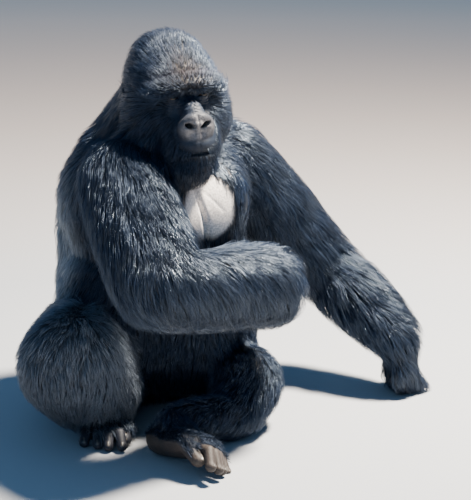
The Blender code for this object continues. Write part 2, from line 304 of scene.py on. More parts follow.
@dataclass
class Volume:
    """Distances to a surface on a grid of cubes, negative inside."""

    low: Array
    voxel: float
    values: Array

    @classmethod
    def of_mesh(cls, points: Array, faces: Array, voxel: float, reach: float) -> Volume:
        """Measures the distances round a closed mesh.

        Args:
            points: Its points.
            faces: Its triangles or quads.
            voxel: Grid spacing.
            reach: How far from the surface the distances are known.

        Returns:
            The volume.
        """
        transform = vdb.createLinearTransform(voxelSize=voxel)
        kind = "quads" if faces.shape[1] == 4 else "triangles"
        grid = vdb.FloatGrid.createLevelSetFromPolygons(
            np.ascontiguousarray(points, np.float64),
            **{kind: np.ascontiguousarray(faces, np.uint32)},
            transform=transform,
            halfWidth=reach / voxel,
        )
        low, high = grid.evalActiveVoxelBoundingBox()
        values = np.empty([high[axis] - low[axis] + 1 for axis in range(3)], np.float32)
        grid.copyToArray(values, ijk=low)
        return cls(np.array(low) * voxel, voxel, values)

    @classmethod
    def empty(cls, low: Array, high: Array, voxel: float) -> Volume:
        """A box of space between two corners, with nothing in it."""
        shape = np.ceil((np.array(high) - np.array(low)) / voxel).astype(int) + 1
        return cls(np.array(low, float), voxel, np.full(shape, REACH, np.float32))

    def points(self, window: tuple | None = None) -> Array:
        """Places of the grid's points.

        Args:
            window: Three slices, or None for the whole grid.

        Returns:
            An array of places with the window's shape.
        """
        window = window or tuple(slice(0, size) for size in self.values.shape)
        steps = [np.arange(part.start, part.stop) for part in window]
        lines = [low + self.voxel * step for low, step in zip(self.low, steps)]
        return np.stack(np.meshgrid(*lines, indexing="ij"), axis=-1)

    def window(self, centre: Array, reach: float) -> tuple:
        """The part of the grid round a point.

        Args:
            centre: The point.
            reach: Half the side of the part.

        Returns:
            Three slices.
        """
        start = np.floor((centre - reach - self.low) / self.voxel).astype(int)
        stop = np.ceil((centre + reach - self.low) / self.voxel).astype(int) + 1
        start, stop = np.maximum(start, 0), np.minimum(stop, self.values.shape)
        return tuple(slice(int(a), int(max(a, b))) for a, b in zip(start, stop))

    def sample(self, points: Array) -> Array:
        """Reads the distances between grid points.

        Args:
            points: Places along the last axis.

        Returns:
            One distance per place.
        """
        place = (points - self.low) / self.voxel
        limit = np.array(self.values.shape) - 1.001
        place = np.clip(place, 0.0, limit)
        corner = place.astype(np.int32)
        share = (place - corner).astype(np.float32)
        total = np.zeros(points.shape[:-1], np.float32)
        for steps in np.ndindex(2, 2, 2):
            weight = np.ones(points.shape[:-1], np.float32)
            for axis, step in enumerate(steps):
                weight *= share[..., axis] if step else 1.0 - share[..., axis]
            x, y, z = (corner[..., axis] + step for axis, step in enumerate(steps))
            total += weight * self.values[x, y, z]
        return total

    def soften(self, passes: int) -> None:
        """Blurs the distances, which rounds off facets and creases.

        Args:
            passes: How many times each point is averaged with its neighbours.
        """
        values = self.values
        for _ in range(passes):
            for axis in range(3):
                before = np.roll(values, 1, axis)
                after = np.roll(values, -1, axis)
                values = 0.5 * values + 0.25 * (before + after)
        self.values = values

    def surface(self) -> tuple[Array, Array]:
        """Meshes the surface, closed where it reaches the grid's edge.

        Returns:
            Points and quads, facing out.
        """
        height = self.low[2] + self.voxel * np.arange(self.values.shape[2])
        values = np.maximum(self.values, (FLOOR_GAP - height).astype(np.float32))
        padded = np.pad(values, 2, constant_values=REACH)
        grid = vdb.FloatGrid(REACH)
        grid.copyFromArray(np.ascontiguousarray(padded))
        points, quads = grid.convertToQuads(isovalue=0.0)
        points = (points.astype(np.float64) - 2.0) * self.voxel + self.low
        a, b, c, d = (points[quads[:, corner]] for corner in range(4))
        volume = np.einsum("ij,ij->", a, np.cross(b, c) + np.cross(c, d))
        return points, quads[:, ::-1] if volume < 0 else quads


@dataclass
class Sculpture:
    """A volume that is worked on with soft balls and grooves, in a frame of its own."""

    volume: Volume
    frame: Array
    local: Array = field(init=False)

    def __post_init__(self) -> None:
        """Works out the grid's places in this frame."""
        self.local = local_to(self.volume.points(), self.frame).astype(np.float32)

    def _ball(self, centre: tuple, radii: tuple, turn: tuple, margin: float) -> tuple:
        """Measures the distances to an ellipsoid.

        Args:
            centre: Its centre in this frame.
            radii: Its radii.
            turn: Its turn about X, Y and Z, in degrees.
            margin: How far round it they are measured.

        Returns:
            The part of the grid round it, and the distances there.
        """
        window = self.volume.window(from_local(centre, self.frame), max(radii) + margin)
        spin = np.array(Euler([radians(angle) for angle in turn]).to_matrix())
        offset = (self.local[window] - np.array(centre, np.float32)) @ spin.astype(np.float32)
        radii = np.array(radii, np.float32)
        outer = np.linalg.norm(offset / radii, axis=-1)
        inner = np.maximum(np.linalg.norm(offset / radii**2, axis=-1), 1e-6)
        return window, outer * (outer - 1.0) / inner

    def work(self, work: Work, centre: tuple, radii: tuple, blend: float, turn: tuple = (0, 0, 0)) -> None:
        """Joins a ball to the form or takes it out.

        Args:
            work: Which of the two.
            centre: Its centre in this frame.
            radii: Its radii.
            blend: Width of the rounded join.
            turn: Its turn about X, Y and Z, in degrees.
        """
        sign = work.value
        window, ball = self._ball(centre, radii, turn, blend + 4 * self.volume.voxel)
        ball = sign * ball
        held = self.volume.values[window]
        share = np.clip(0.5 + sign * 0.5 * (held - ball) / blend, 0.0, 1.0)
        self.volume.values[window] = held + (ball - held) * share - sign * blend * share * (1.0 - share)

    def add(self, centre: tuple, radii: tuple, blend: float, turn: tuple = (0, 0, 0)) -> None:
        """Melts a ball on."""
        self.work(Work.ADD, centre, radii, blend, turn)

    def cut(self, centre: tuple, radii: tuple, blend: float, turn: tuple = (0, 0, 0)) -> None:
        """Scoops a ball out."""
        self.work(Work.CUT, centre, radii, blend, turn)

    def taper(self, start: tuple, first: float, end: tuple, last: float, blend: float) -> None:
        """Melts on a chain of balls, like a bone with flesh on it.

        Args:
            start: Centre of the first ball.
            first: Its radius.
            end: Centre of the last ball.
            last: Its radius.
            blend: Width of the fillet.
        """
        start, end = np.array(start, float), np.array(end, float)
        steps = max(2, int(np.linalg.norm(end - start) / (0.45 * min(first, last))) + 1)
        for step in range(steps + 1):
            share = step / steps
            radius = first + (last - first) * share
            self.add(tuple(start + (end - start) * share), (radius,) * 3, blend)

    def both(self, work: Work, centre: tuple, radii: tuple, blend: float, turn: tuple = (0, 0, 0)) -> None:
        """Adds or cuts a ball on either side of the middle plane.

        Args:
            work: Which of the two.
            centre: The left ball's centre.
            radii: Its radii.
            blend: Width of the rounded join.
            turn: The left ball's turn in degrees.
        """
        x, y, z = centre
        about_x, about_y, about_z = turn
        self.work(work, centre, radii, blend, turn)
        self.work(work, (-x, y, z), radii, blend, (about_x, -about_y, -about_z))

    def groove(self, line: tuple, width: float, depth: float, mirrored: bool = False) -> None:
        """Presses a line into whatever faces forward, or raises it where depth is negative.

        Args:
            line: Points (x, z) as seen from the front.
            width: Half width of the line.
            depth: How deep it goes.
            mirrored: Whether the other side gets the same line.
        """
        across, up = self.local[..., 0], self.local[..., 2]
        front = smooth_step(self.local[..., 1], -0.045, -0.075)
        for side in (1.0, -1.0) if mirrored else (1.0,):
            nearest = np.full(across.shape, 1.0, np.float32)
            for (x0, z0), (x1, z1) in zip(line, line[1:]):
                x0, x1 = side * x0, side * x1
                length = (x1 - x0) ** 2 + (z1 - z0) ** 2
                share = np.clip(((across - x0) * (x1 - x0) + (up - z0) * (z1 - z0)) / length, 0.0, 1.0)
                gap = np.hypot(across - x0 - share * (x1 - x0), up - z0 - share * (z1 - z0))
                nearest = np.minimum(nearest, gap)
            self.volume.values += (depth * np.exp(-((nearest / width) ** 2)) * front).astype(np.float32)


# ---- anatomy


@dataclass(frozen=True)
class Fur:
    """How the coat grows on one part of the body.

    Lengths are in metres, lift is the angle at the root in degrees, sag is how far gravity turns the tip, and
    density is in tufts per square metre.
    """

    length: float
    depth: float
    width: float
    lift: float
    sag: float
    density: float


FURS = {
    "head": Fur(0.034, 0.01, 0.0013, 24, 0.1, 82000),
    "ear": Fur(0.01, 0.0, 0.0012, 30, 0.0, 0),
    "neck": Fur(0.055, 0.014, 0.0017, 20, 0.2, 66000),
    "chest": Fur(0.055, 0.014, 0.0019, 20, 0.25, 37000),
    "abdomen": Fur(0.05, 0.012, 0.0019, 20, 0.25, 38000),
    "upper_arm": Fur(0.105, 0.016, 0.0017, 10, 0.25, 56000),
    "upper_arm_left": Fur(0.09, 0.018, 0.0017, 26, 0.15, 56000),
    "forearm": Fur(0.092, 0.024, 0.0018, 24, 0.5, 52000),
    "hand": Fur(0.05, 0.005, 0.0018, 18, 0.3, 60000),
    "thigh": Fur(0.042, 0.011, 0.0017, 22, 0.2, 54000),
    "shin": Fur(0.05, 0.013, 0.0018, 24, 0.3, 54000),
    "foot": Fur(0.022, 0.002, 0.0014, 18, 0.1, 54000),
}


@dataclass(frozen=True)
class Grip:
    """How a foot or a hand is set: X runs to its digits, Z out of its upper side.

    Its root is given from a corner of its solid's box. The bends are the turns of the finger joints in
    degrees, and cup is how far the ball of a foot is drawn up.
    """

    corner: tuple
    root: tuple
    along: tuple
    dorsal: tuple
    bends: tuple = ()
    cup: float = 0.0

    def frame(self, node: str) -> Array:
        """Places the frame.

        Args:
            node: The solid's name.

        Returns:
            A 4x4 matrix from this frame to the world.
        """
        box = [np.array(corner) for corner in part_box(node)]
        x = unit(np.array(self.along))
        y = unit(np.cross(self.dorsal, x))
        out = np.eye(4)
        out[:3, 0], out[:3, 1], out[:3, 2] = x, y, np.cross(x, y)
        out[:3, 3] = [box[high][axis] + self.root[axis] for axis, high in enumerate(self.corner)]
        return out


GRIPS = {
    "foot_left": Grip((0, 1, 0), (0.016, -0.008, 0.012), (0.17, -0.985, 0.0), (0.46, 0.08, 0.88), cup=0.02),
    "foot_right": Grip((1, 1, 0), (-0.018, -0.009, 0.0), (-0.53, -0.85, 0.0), (0.0, 0.0, 1.0)),
    "hand_left": Grip(
        (0, 0, 1), (0.036, 0.056, -0.035), (0.28, 0.1, -0.95), (0.94, -0.2, 0.25), bends=(-32, 112, 78)
    ),
    "hand_right": Grip(
        (0, 0, 0), (0.035, 0.036, 0.065), (0.62, 0.78, -0.05), (0.78, -0.62, 0.1), bends=(48, 78, 62)
    ),
}


def kind_of(node: str) -> str:
    """A node's name without its side."""
    return node.removesuffix("_left").removesuffix("_right")


def fur_of(node: str) -> Fur:
    """A node's own row of fur, or the row of its pair."""
    return FURS.get(node) or FURS[kind_of(node)]


@dataclass
class Anatomy:
    """Joints, frames and bare places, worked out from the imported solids."""

    nodes: dict
    seam_gap: float = 0.002  # solids that face each other are nearer than this
    samples: float = 3500.0  # points on each square metre of a solid, over 150 on each
    names: list = field(init=False, default_factory=lambda: list(FLESH))
    joints: dict = field(init=False, default_factory=dict)

    def __post_init__(self) -> None:
        """Reads the flesh solids."""
        self.meshes = {name: triangles_of(self.nodes[name].data) for name in FLESH}
        self.head = self._head_frame()
        self.frames = {name: grip.frame(name) for name, grip in GRIPS.items()}
        seams = (
            ("shoulder", "upper_arm", "chest"),
            ("elbow", "upper_arm", "forearm"),
            ("wrist", "forearm", "hand"),
            ("hip", "thigh", "abdomen"),
            ("knee", "thigh", "shin"),
            ("ankle", "shin", "foot"),
        )
        for side in SIDES:
            for joint, first, second in seams:
                second = second if second in TRUNK else f"{second}_{side}"
                self.joints[f"{joint}_{side}"] = self._seam(f"{first}_{side}", second)
            self.joints[f"knuckles_{side}"] = self.meshes[f"hand_{side}"][0].mean(axis=0)
            self.joints[f"toes_{side}"] = self.meshes[f"foot_{side}"][0].mean(axis=0)
        self._tree = self._sampled_tree()

    @staticmethod
    def _head_frame() -> Array:
        """Sets the head's frame between the eye solids.

        Returns:
            A 4x4 matrix from that frame to the world.
        """
        dip, tilt, turn = (radians(angle) for angle in HEAD_ANGLES)
        spin = Matrix.Rotation(turn, 4, "Z") @ Matrix.Rotation(dip, 4, "X")
        spin = spin @ Matrix.Rotation(tilt, 4, "Y")
        corners = [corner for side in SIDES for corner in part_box(f"eye_{side}")]
        middle = sum(corners, Vector()) / len(corners)
        origin = middle - spin @ Vector((0.0, -EYE_FORWARD, EYE_UP))
        return np.array(Matrix.Translation(origin) @ spin)

    def _seam(self, first: str, second: str) -> Array:
        """Finds where two solids face each other.

        Args:
            first: Name of the solid whose points are used.
            second: Name of the other.

        Returns:
            The middle of the first's points that are near the second.
        """
        tree = KDTree(len(self.meshes[second][0]))
        for number, point in enumerate(self.meshes[second][0]):
            tree.insert(point, number)
        tree.balance()
        near = [point for point in self.meshes[first][0] if tree.find(point)[2] < self.seam_gap]
        return np.mean(near or self.meshes[first][0], axis=0)

    def _sampled_tree(self) -> KDTree:
        """Spreads points over every solid, each marked with its solid's number.

        Returns:
            The tree of those points.
        """
        random = np.random.default_rng(SEED)
        places, marks = [], []
        for number, name in enumerate(self.names):
            points, faces = self.meshes[name]
            a, b, c = (points[faces[:, corner]] for corner in range(3))
            area = np.linalg.norm(np.cross(b - a, c - a), axis=1)
            count = int(area.sum() * self.samples) + 150
            picked = random.choice(len(faces), size=count, p=area / area.sum())
            u, v = random.random((2, len(picked), 1))
            turn = u + v > 1.0
            u, v = np.where(turn, 1.0 - u, u), np.where(turn, 1.0 - v, v)
            places.append(a[picked] + u * (b[picked] - a[picked]) + v * (c[picked] - a[picked]))
            marks.append(np.full(len(picked), number))
        self._marks = np.concatenate(marks)
        tree = KDTree(len(self._marks))
        for number, place in enumerate(np.concatenate(places)):
            tree.insert(place, number)
        tree.balance()
        return tree

    def part_of(self, points: Array) -> Array:
        """Number in names of the solid that each point lies nearest to."""
        return self._marks[[self._tree.find(point)[1] for point in points]]

    def number(self, name: str) -> int:
        """A solid's number in names."""
        return self.names.index(name)

    def bareness(self, points: Array) -> Array:
        """How bare the skin is at each point: 0 under the coat, 1 where it shows."""
        face = np.maximum(BARE_EYES.share(points, self.head), BARE_MUZZLE.share(points, self.head))
        return np.maximum(face, BARE_BREAST.share(points))

    def bone(self, start: str, end: str) -> tuple[Array, Array]:
        """A bone's two ends, from the names of its joints."""
        return self.joints[start], self.joints[end]


# ---- fine forms


@dataclass(frozen=True)
class Face:
    """Brow, nose, lips, lids and folds, in the head's frame.

    A ball is its centre, its radii, the width of its fillet and any turn in degrees. A line is points (x, z).
    """

    body: Sculpture
    brow_steps: int = 14
    brow_ball: tuple = (0.015, 0.0185, 0.0145)
    bridge_steps: int = 8
    bridge_cut: tuple = ((0.0, -0.134, 0.029), (0.02, 0.025, 0.014), 0.012)
    nose_sides: tuple = (
        ((0.036, -0.097, -0.026), (0.028, 0.02, 0.026), 0.02),
        ((0.034, -0.107, -0.06), (0.026, 0.032, 0.034), 0.02),
    )
    nose_pad: tuple = ((0.0, -0.138, -0.038), (0.036, 0.022, 0.03), 0.01)
    nose_wing: tuple = ((0.025, -0.142, -0.047), (0.0175, 0.0215, 0.022), 0.007, (0, 18, 12))
    # Left nostril's rim from the top of the nose to below the septum: place and thickness.
    rim: tuple = (
        (0.004, -0.162, -0.02, 0.0072),
        (0.015, -0.162, -0.021, 0.0076),
        (0.027, -0.157, -0.027, 0.0076),
        (0.0345, -0.15, -0.04, 0.0078),
        (0.032, -0.148, -0.054, 0.0074),
        (0.021, -0.15, -0.061, 0.0064),
        (0.005, -0.154, -0.064, 0.006),
    )
    nostril_cuts: tuple = (
        ((0.018, -0.17, -0.037), (0.0148, 0.018, 0.0066), 0.0025, (0, -24, 12)),
        ((0.013, -0.176, -0.045), (0.0085, 0.012, 0.008), 0.005, (0, -24, 12)),
        ((0.018, -0.152, -0.037), (0.0105, 0.022, 0.005), 0.0025, (0, -24, 12)),
    )
    septum_steps: int = 5
    lip_balls: tuple = (
        ((0.0, -0.096, -0.1), (0.062, 0.062, 0.05), 0.016),
        ((0.0, -0.108, -0.084), (0.056, 0.057, 0.034), 0.018),
        ((0.0, -0.11, -0.117), (0.042, 0.04, 0.014), 0.012),
        ((0.0, -0.112, -0.138), (0.044, 0.046, 0.028), 0.014),
    )
    lip_line: tuple = ((-0.054, -0.116), (-0.042, -0.109), (-0.022, -0.1055), (0.0, -0.1045))
    under_nose: tuple = ((-0.03, -0.068), (-0.018, -0.073), (0.018, -0.073), (0.03, -0.068))
    cheek_fold: tuple = ((0.036, 0.0), (0.052, -0.02), (0.06, -0.05), (0.062, -0.085), (0.056, -0.115))
    fold_depth: float = 0.0006

    def carve(self) -> None:
        """Works all of them into the head's sculpture."""
        for name in ("brow", "nose", "nostrils", "mouth", "eyes", "lid_folds", "folds"):
            getattr(self, f"_{name}")()

    def _brow(self) -> None:
        """Adds the ridge over the eyes."""
        for step in range(-self.brow_steps, self.brow_steps + 1):
            share = step / self.brow_steps
            centre = (0.078 * share, -0.113 + 0.028 * share * share, 0.05 - 0.012 * share * share)
            self.body.add(centre, self.brow_ball, 0.012)
        self.body.groove(((0.0, 0.03), (0.0, 0.048)), 0.005, 0.0018)

    def _nose(self) -> None:
        """Adds the bridge, its sides, the pad and the wings."""
        for step in range(self.bridge_steps + 1):
            share = step / self.bridge_steps
            radius = 0.0125 + 0.006 * share
            centre = (0.0, -0.087 - 0.057 * share**1.5, 0.024 - 0.042 * share)
            self.body.add(centre, (radius * 1.25, radius, radius), 0.014)
        self.body.cut(*self.bridge_cut)
        for ball in self.nose_sides:
            self.body.both(Work.ADD, *ball)
        self.body.add(*self.nose_pad)
        self.body.both(Work.ADD, *self.nose_wing)

    def _nostrils(self) -> None:
        """Lays a rim round each wide nostril, opens it and leaves the septum."""
        for (x0, y0, z0, r0), (x1, y1, z1, r1) in zip(self.rim, self.rim[1:]):
            for share in (0.0, 0.34, 0.67):
                centre = (x0 + (x1 - x0) * share, y0 + (y1 - y0) * share, z0 + (z1 - z0) * share)
                self.body.both(Work.ADD, centre, (r0 + (r1 - r0) * share,) * 3, 0.0085)
        for ball in self.nostril_cuts:
            self.body.both(Work.CUT, *ball)
        for step in range(self.septum_steps + 1):
            share = step / self.septum_steps
            centre = (0.0, -0.164 + 0.006 * share, -0.024 - 0.036 * share)
            self.body.add(centre, (0.0048, 0.009, 0.008), 0.005)
        self.body.groove(((0.0, -0.016), (0.0, -0.062)), 0.0026, 0.0018)
        self.body.groove(((0.034, -0.014), (0.047, -0.03), (0.049, -0.05)), 0.006, 0.0014, mirrored=True)

    def _mouth(self) -> None:
        """Adds the lips, held shut."""
        for ball in self.lip_balls:
            self.body.add(*ball)
        line = self.lip_line + tuple((-x, z) for x, z in reversed(self.lip_line[:-1]))
        self.body.groove(line, 0.002, 0.0075)
        self.body.groove(line, 0.007, 0.0012)
        self.body.groove(((0.0, -0.074), (0.0, -0.098)), 0.0045, 0.0008)
        self.body.groove(self.under_nose, 0.006, 0.0005)

    def _eyes(self) -> None:
        """Sinks the sockets and leaves a narrow slit between the lids over each eyeball."""
        both, out, forward, up = self.body.both, EYE_OUT, EYE_FORWARD, EYE_UP
        both(Work.CUT, (out + 0.002, -forward - 0.025, up + 0.002), (0.026, 0.024, 0.014), 0.01)
        both(Work.ADD, (out, -forward + 0.0005, up), (EYE_RADIUS + 0.0022,) * 3, 0.009)
        both(Work.CUT, (out, -forward - 0.0125, up - 0.0006), (0.0104, 0.008, 0.0031), 0.0014, (0, 9, 0))
        both(Work.CUT, (out - 0.0115, -forward - 0.01, up - 0.0024), (0.0036, 0.005, 0.0016), 0.0013)

    def _lid_folds(self) -> None:
        """Presses rings of folds round the eyes."""
        across, forward, up = (self.body.local[..., axis] for axis in range(3))
        front = smooth_step(forward, -0.06, -0.085)
        for side in (-1.0, 1.0):
            out = np.hypot((across - side * EYE_OUT) / 1.45, up - EYE_UP + 0.001)
            ring = smooth_step(out, 0.0105, 0.0135) * smooth_step(out, 0.034, 0.022)
            below = 0.25 + 0.75 * smooth_step(up, EYE_UP + 0.004, EYE_UP - 0.012)
            fold = np.cos(2 * pi * (out - 0.0125) / 0.0056) * ring * below * front
            self.body.volume.values += (self.fold_depth * fold).astype(np.float32)

    def _folds(self) -> None:
        """Presses folds across the bridge and beside the mouth."""
        across, forward, up = (self.body.local[..., axis] for axis in range(3))
        front = smooth_step(forward, -0.06, -0.085)
        bridge = smooth_step(np.abs(across), 0.02, 0.006) * smooth_step(up, -0.016, -0.006)
        bridge = bridge * smooth_step(up, 0.034, 0.02)
        bend = up + 0.45 * np.abs(across)
        bend = bend + 0.0022 * waves(self.body.local, 0.01, SEED)[..., 0]
        fold = np.cos(2 * pi * bend / 0.0078)
        self.body.volume.values += (self.fold_depth * fold * bridge * front).astype(np.float32)
        self.body.groove(self.cheek_fold, 0.007, 0.0026, mirrored=True)


@dataclass(frozen=True)
class Foot:
    """Heel, arch, ball and five toes, in the foot's frame.

    Side is -1 for the left foot and 1 for the right one, and cup is how far the ball is drawn up.
    """

    body: Sculpture
    side: int
    cup: float
    length: float = 0.262
    toe_radius: float = 0.0116
    toe_shorter: tuple = (0.02, 0.025, 0.038, 0.052)  # than the foot
    toe_drift: tuple = (0.003, -0.0015, 0.001, -0.0025)  # of its tip, outward
    covers: Zone = Zone((0.205, 0.0, 0.02), (0.115, 0.1, 0.08), 0.8, 0.98)

    def carve(self) -> list:
        """Builds the foot up.

        Returns:
            Place, way out and size of each nail, in the foot's frame.
        """
        cup = self.cup
        self.body.add((0.036, 0.0, 0.034), (0.041, 0.034, 0.0345), 0.01)
        self.body.taper((0.05, 0, 0.072), 0.037, (0.085, 0, 0.052 + cup / 2), 0.033, 0.012)
        for lane in (-1, 0, 1):
            ball = (0.163, lane * 0.026, 0.026 + cup)
            self.body.taper((0.05, lane * 0.008, 0.036), 0.03, ball, 0.022, 0.01)
        nails = [self._toe(toe) for toe in range(4)]
        knob = (0.148, self.side * 0.048, 0.025 + cup)
        self.body.taper((0.09, self.side * 0.024, 0.03 + cup / 2), 0.026, knob, 0.0195, 0.008)
        tip = (0.205, self.side * 0.044, 0.0175)
        self.body.taper(knob, 0.0175, tip, 0.0145, 0.003)
        self.body.add(tip, (0.0175, 0.015, 0.014), 0.003)
        return [*nails, ((tip[0] + 0.0085, tip[1], tip[2] + 0.01), (0.55, 0.0, 0.84), 0.0095)]

    def _toe(self, toe: int) -> tuple:
        """Adds one of the four small toes.

        Args:
            toe: Its number, from the one beside the big toe.

        Returns:
            Place, way out and size of its nail.
        """
        radius, cup = self.toe_radius, self.cup
        across = self.side * (0.03 - 0.024 * toe)
        base = (0.17 - 0.005 * toe, across * 0.94, 0.024 + cup)
        reach, drift = self.length - self.toe_shorter[toe], self.side * self.toe_drift[toe]
        middle = (reach - 0.026, across * 1.08, 0.036 - 0.002 * toe + cup / 2)
        tip = (reach, across * 1.16 + drift, 0.014)
        self.body.taper(base, 0.014, middle, radius, 0.002)
        self.body.taper(middle, radius * 1.08, tip, radius * 0.96, 0.002)
        self.body.add(tip, (0.014, 0.012, 0.0118), 0.002)
        for share in (0.3, 0.46):
            x, y, z = (base[axis] + (middle[axis] - base[axis]) * (1.0 - share) for axis in range(3))
            self.body.cut((x, y, z + radius * 1.18), (0.0014, 0.012, 0.0034), 0.002)
        return (tip[0] + 0.0065, tip[1], tip[2] + 0.0082), (0.55, 0.0, 0.84), 0.0072


@dataclass(frozen=True)
class Hand:
    """Palm, four fingers with three bones each, and a thumb, in the hand's frame.

    Side is -1 for the left hand and 1 for the right one, and bends are the finger joints' turns in degrees.
    """

    body: Sculpture
    side: int
    bends: tuple
    palm_length: float = 0.096
    palm_half_width: float = 0.046
    finger_radius: float = 0.014
    finger_bones: tuple = (0.052, 0.04, 0.028)
    little_finger: float = 0.84  # as a share of the others' length
    covers: Zone = Zone((0.13, 0.0, -0.03), (0.1, 0.09, 0.1), 0.8, 0.98)

    def carve(self) -> list:
        """Builds the hand up.

        Returns:
            Place, way out and size of each nail, in the hand's frame.
        """
        self.body.taper((0.0, 0.0, 0.0), 0.034, (0.035, 0.0, 0.0), 0.034, 0.01)
        nails = [self._finger(finger) for finger in range(4)]
        root = (0.018, self.side * 0.03, -0.012)
        joint = (0.06, self.side * 0.054, -0.026)
        tip = (0.091, self.side * 0.054, -0.044)
        self.body.taper(root, 0.0185, joint, 0.014, 0.006)
        self.body.taper(joint, 0.014, tip, 0.0118, 0.003)
        return [*nails, ((tip[0] + 0.004, tip[1], tip[2] + 0.009), (0.5, 0.0, 0.87), 0.0066)]

    def _finger(self, finger: int) -> tuple:
        """Adds one finger and its ray through the palm.

        Args:
            finger: Its number, with the little finger last.

        Returns:
            Place, way out and size of its nail.
        """
        across = self.side * self.palm_half_width * (1.0 - finger / 1.5)
        start = np.array((self.palm_length - 0.004 * abs(finger - 1), across * 0.86, 0.0))
        self.body.taper((0.02, across * 0.5, 0.0), 0.0225, tuple(start), 0.018, 0.008)
        angle, radius = 0.0, self.finger_radius * 1.08
        for bone, bend in zip(self.finger_bones, self.bends):
            angle += radians(bend)
            way = np.array((cos(angle), 0.0, -sin(angle)))
            end = start + way * bone * (self.little_finger if finger == 3 else 1.0)
            self.body.taper(tuple(start), radius, tuple(end), radius * 0.92, 0.003)
            self.body.add(tuple(start), (radius * 1.08,) * 3, 0.003)
            start, radius = end, radius * 0.92
        out = (sin(angle), 0.0, cos(angle))
        return tuple(start[axis] + out[axis] * radius * 0.8 for axis in range(3)), out, 0.0068


@dataclass(frozen=True)
class Breast:
    """Two flat bare pads that meet in a slanting cleft, in the world's frame."""

    body: Sculpture
    half_side: float = 0.132
    covers: Zone = Zone((0.012, -0.205, 0.53), (0.125, 0.12, 0.13), 0.8, 0.98)
    pads: tuple = (
        ((-0.066, -0.202, 0.53), (0.062, 0.044, 0.09), 0.04, (0, -14, 18)),
        ((0.058, -0.2, 0.53), (0.084, 0.044, 0.092), 0.044, (0, 12, -12)),
    )
    cleft_depth: float = 0.011
    crease_depth: float = 0.0016

    def carve(self) -> None:
        """Works them into the chest."""
        for pad in self.pads:
            self.body.add(*pad)
        across, forward, up = (self.body.local[..., axis] for axis in range(3))
        front = smooth_step(forward, -0.14, -0.18)
        line = -0.036 + 0.3 * (0.6 - up)
        reach = smooth_step(up, 0.44, 0.47) * smooth_step(up, 0.64, 0.6)
        cleft = np.exp(-(((across - line) / np.where(across < line, 0.0045, 0.0085)) ** 2))
        self.body.volume.values += (self.cleft_depth * cleft * reach * front).astype(np.float32)
        crease = np.exp(-(((across + 0.004 - 1.0 * (0.575 - up)) / 0.0035) ** 2))
        reach = smooth_step(up, 0.52, 0.535) * smooth_step(up, 0.585, 0.57)
        self.body.volume.values += (self.crease_depth * crease * reach * front).astype(np.float32)


@dataclass(frozen=True)
class Ear:
    """A small round ear with a rim and a hollow, in the head's frame. Side is 1 for the left ear, or -1."""

    side: int
    middle: tuple = (0.112, 0.036, 0.014)
    half_side: float = 0.045
    root: tuple = ((0.102, 0.03, 0.01), (0.014, 0.018, 0.023))
    shell: tuple = ((0.111, 0.038, 0.014), (0.007, 0.02, 0.026))
    hollow: tuple = ((0.121, 0.034, 0.016), (0.006, 0.012, 0.017))

    def build(self, head: Array) -> tuple[Array, Array]:
        """Makes the ear.

        Args:
            head: The head's frame.

        Returns:
            Points and quads.
        """
        middle = from_local(self._mirrored(self.middle), head)
        ear = Sculpture(Volume.empty(middle - self.half_side, middle + self.half_side, EAR_VOXEL), head)
        tilt = (0, self.side * 8, self.side * 20)
        ear.add(self._mirrored(self.root[0]), self.root[1], 0.004)
        ear.add(self._mirrored(self.shell[0]), self.shell[1], 0.004, tilt)
        ear.cut(self._mirrored(self.hollow[0]), self.hollow[1], 0.003, tilt)
        return ear.volume.surface()

    def _mirrored(self, place: tuple) -> tuple:
        """The same place on this ear's side."""
        return self.side * place[0], place[1], place[2]


# ---- skin


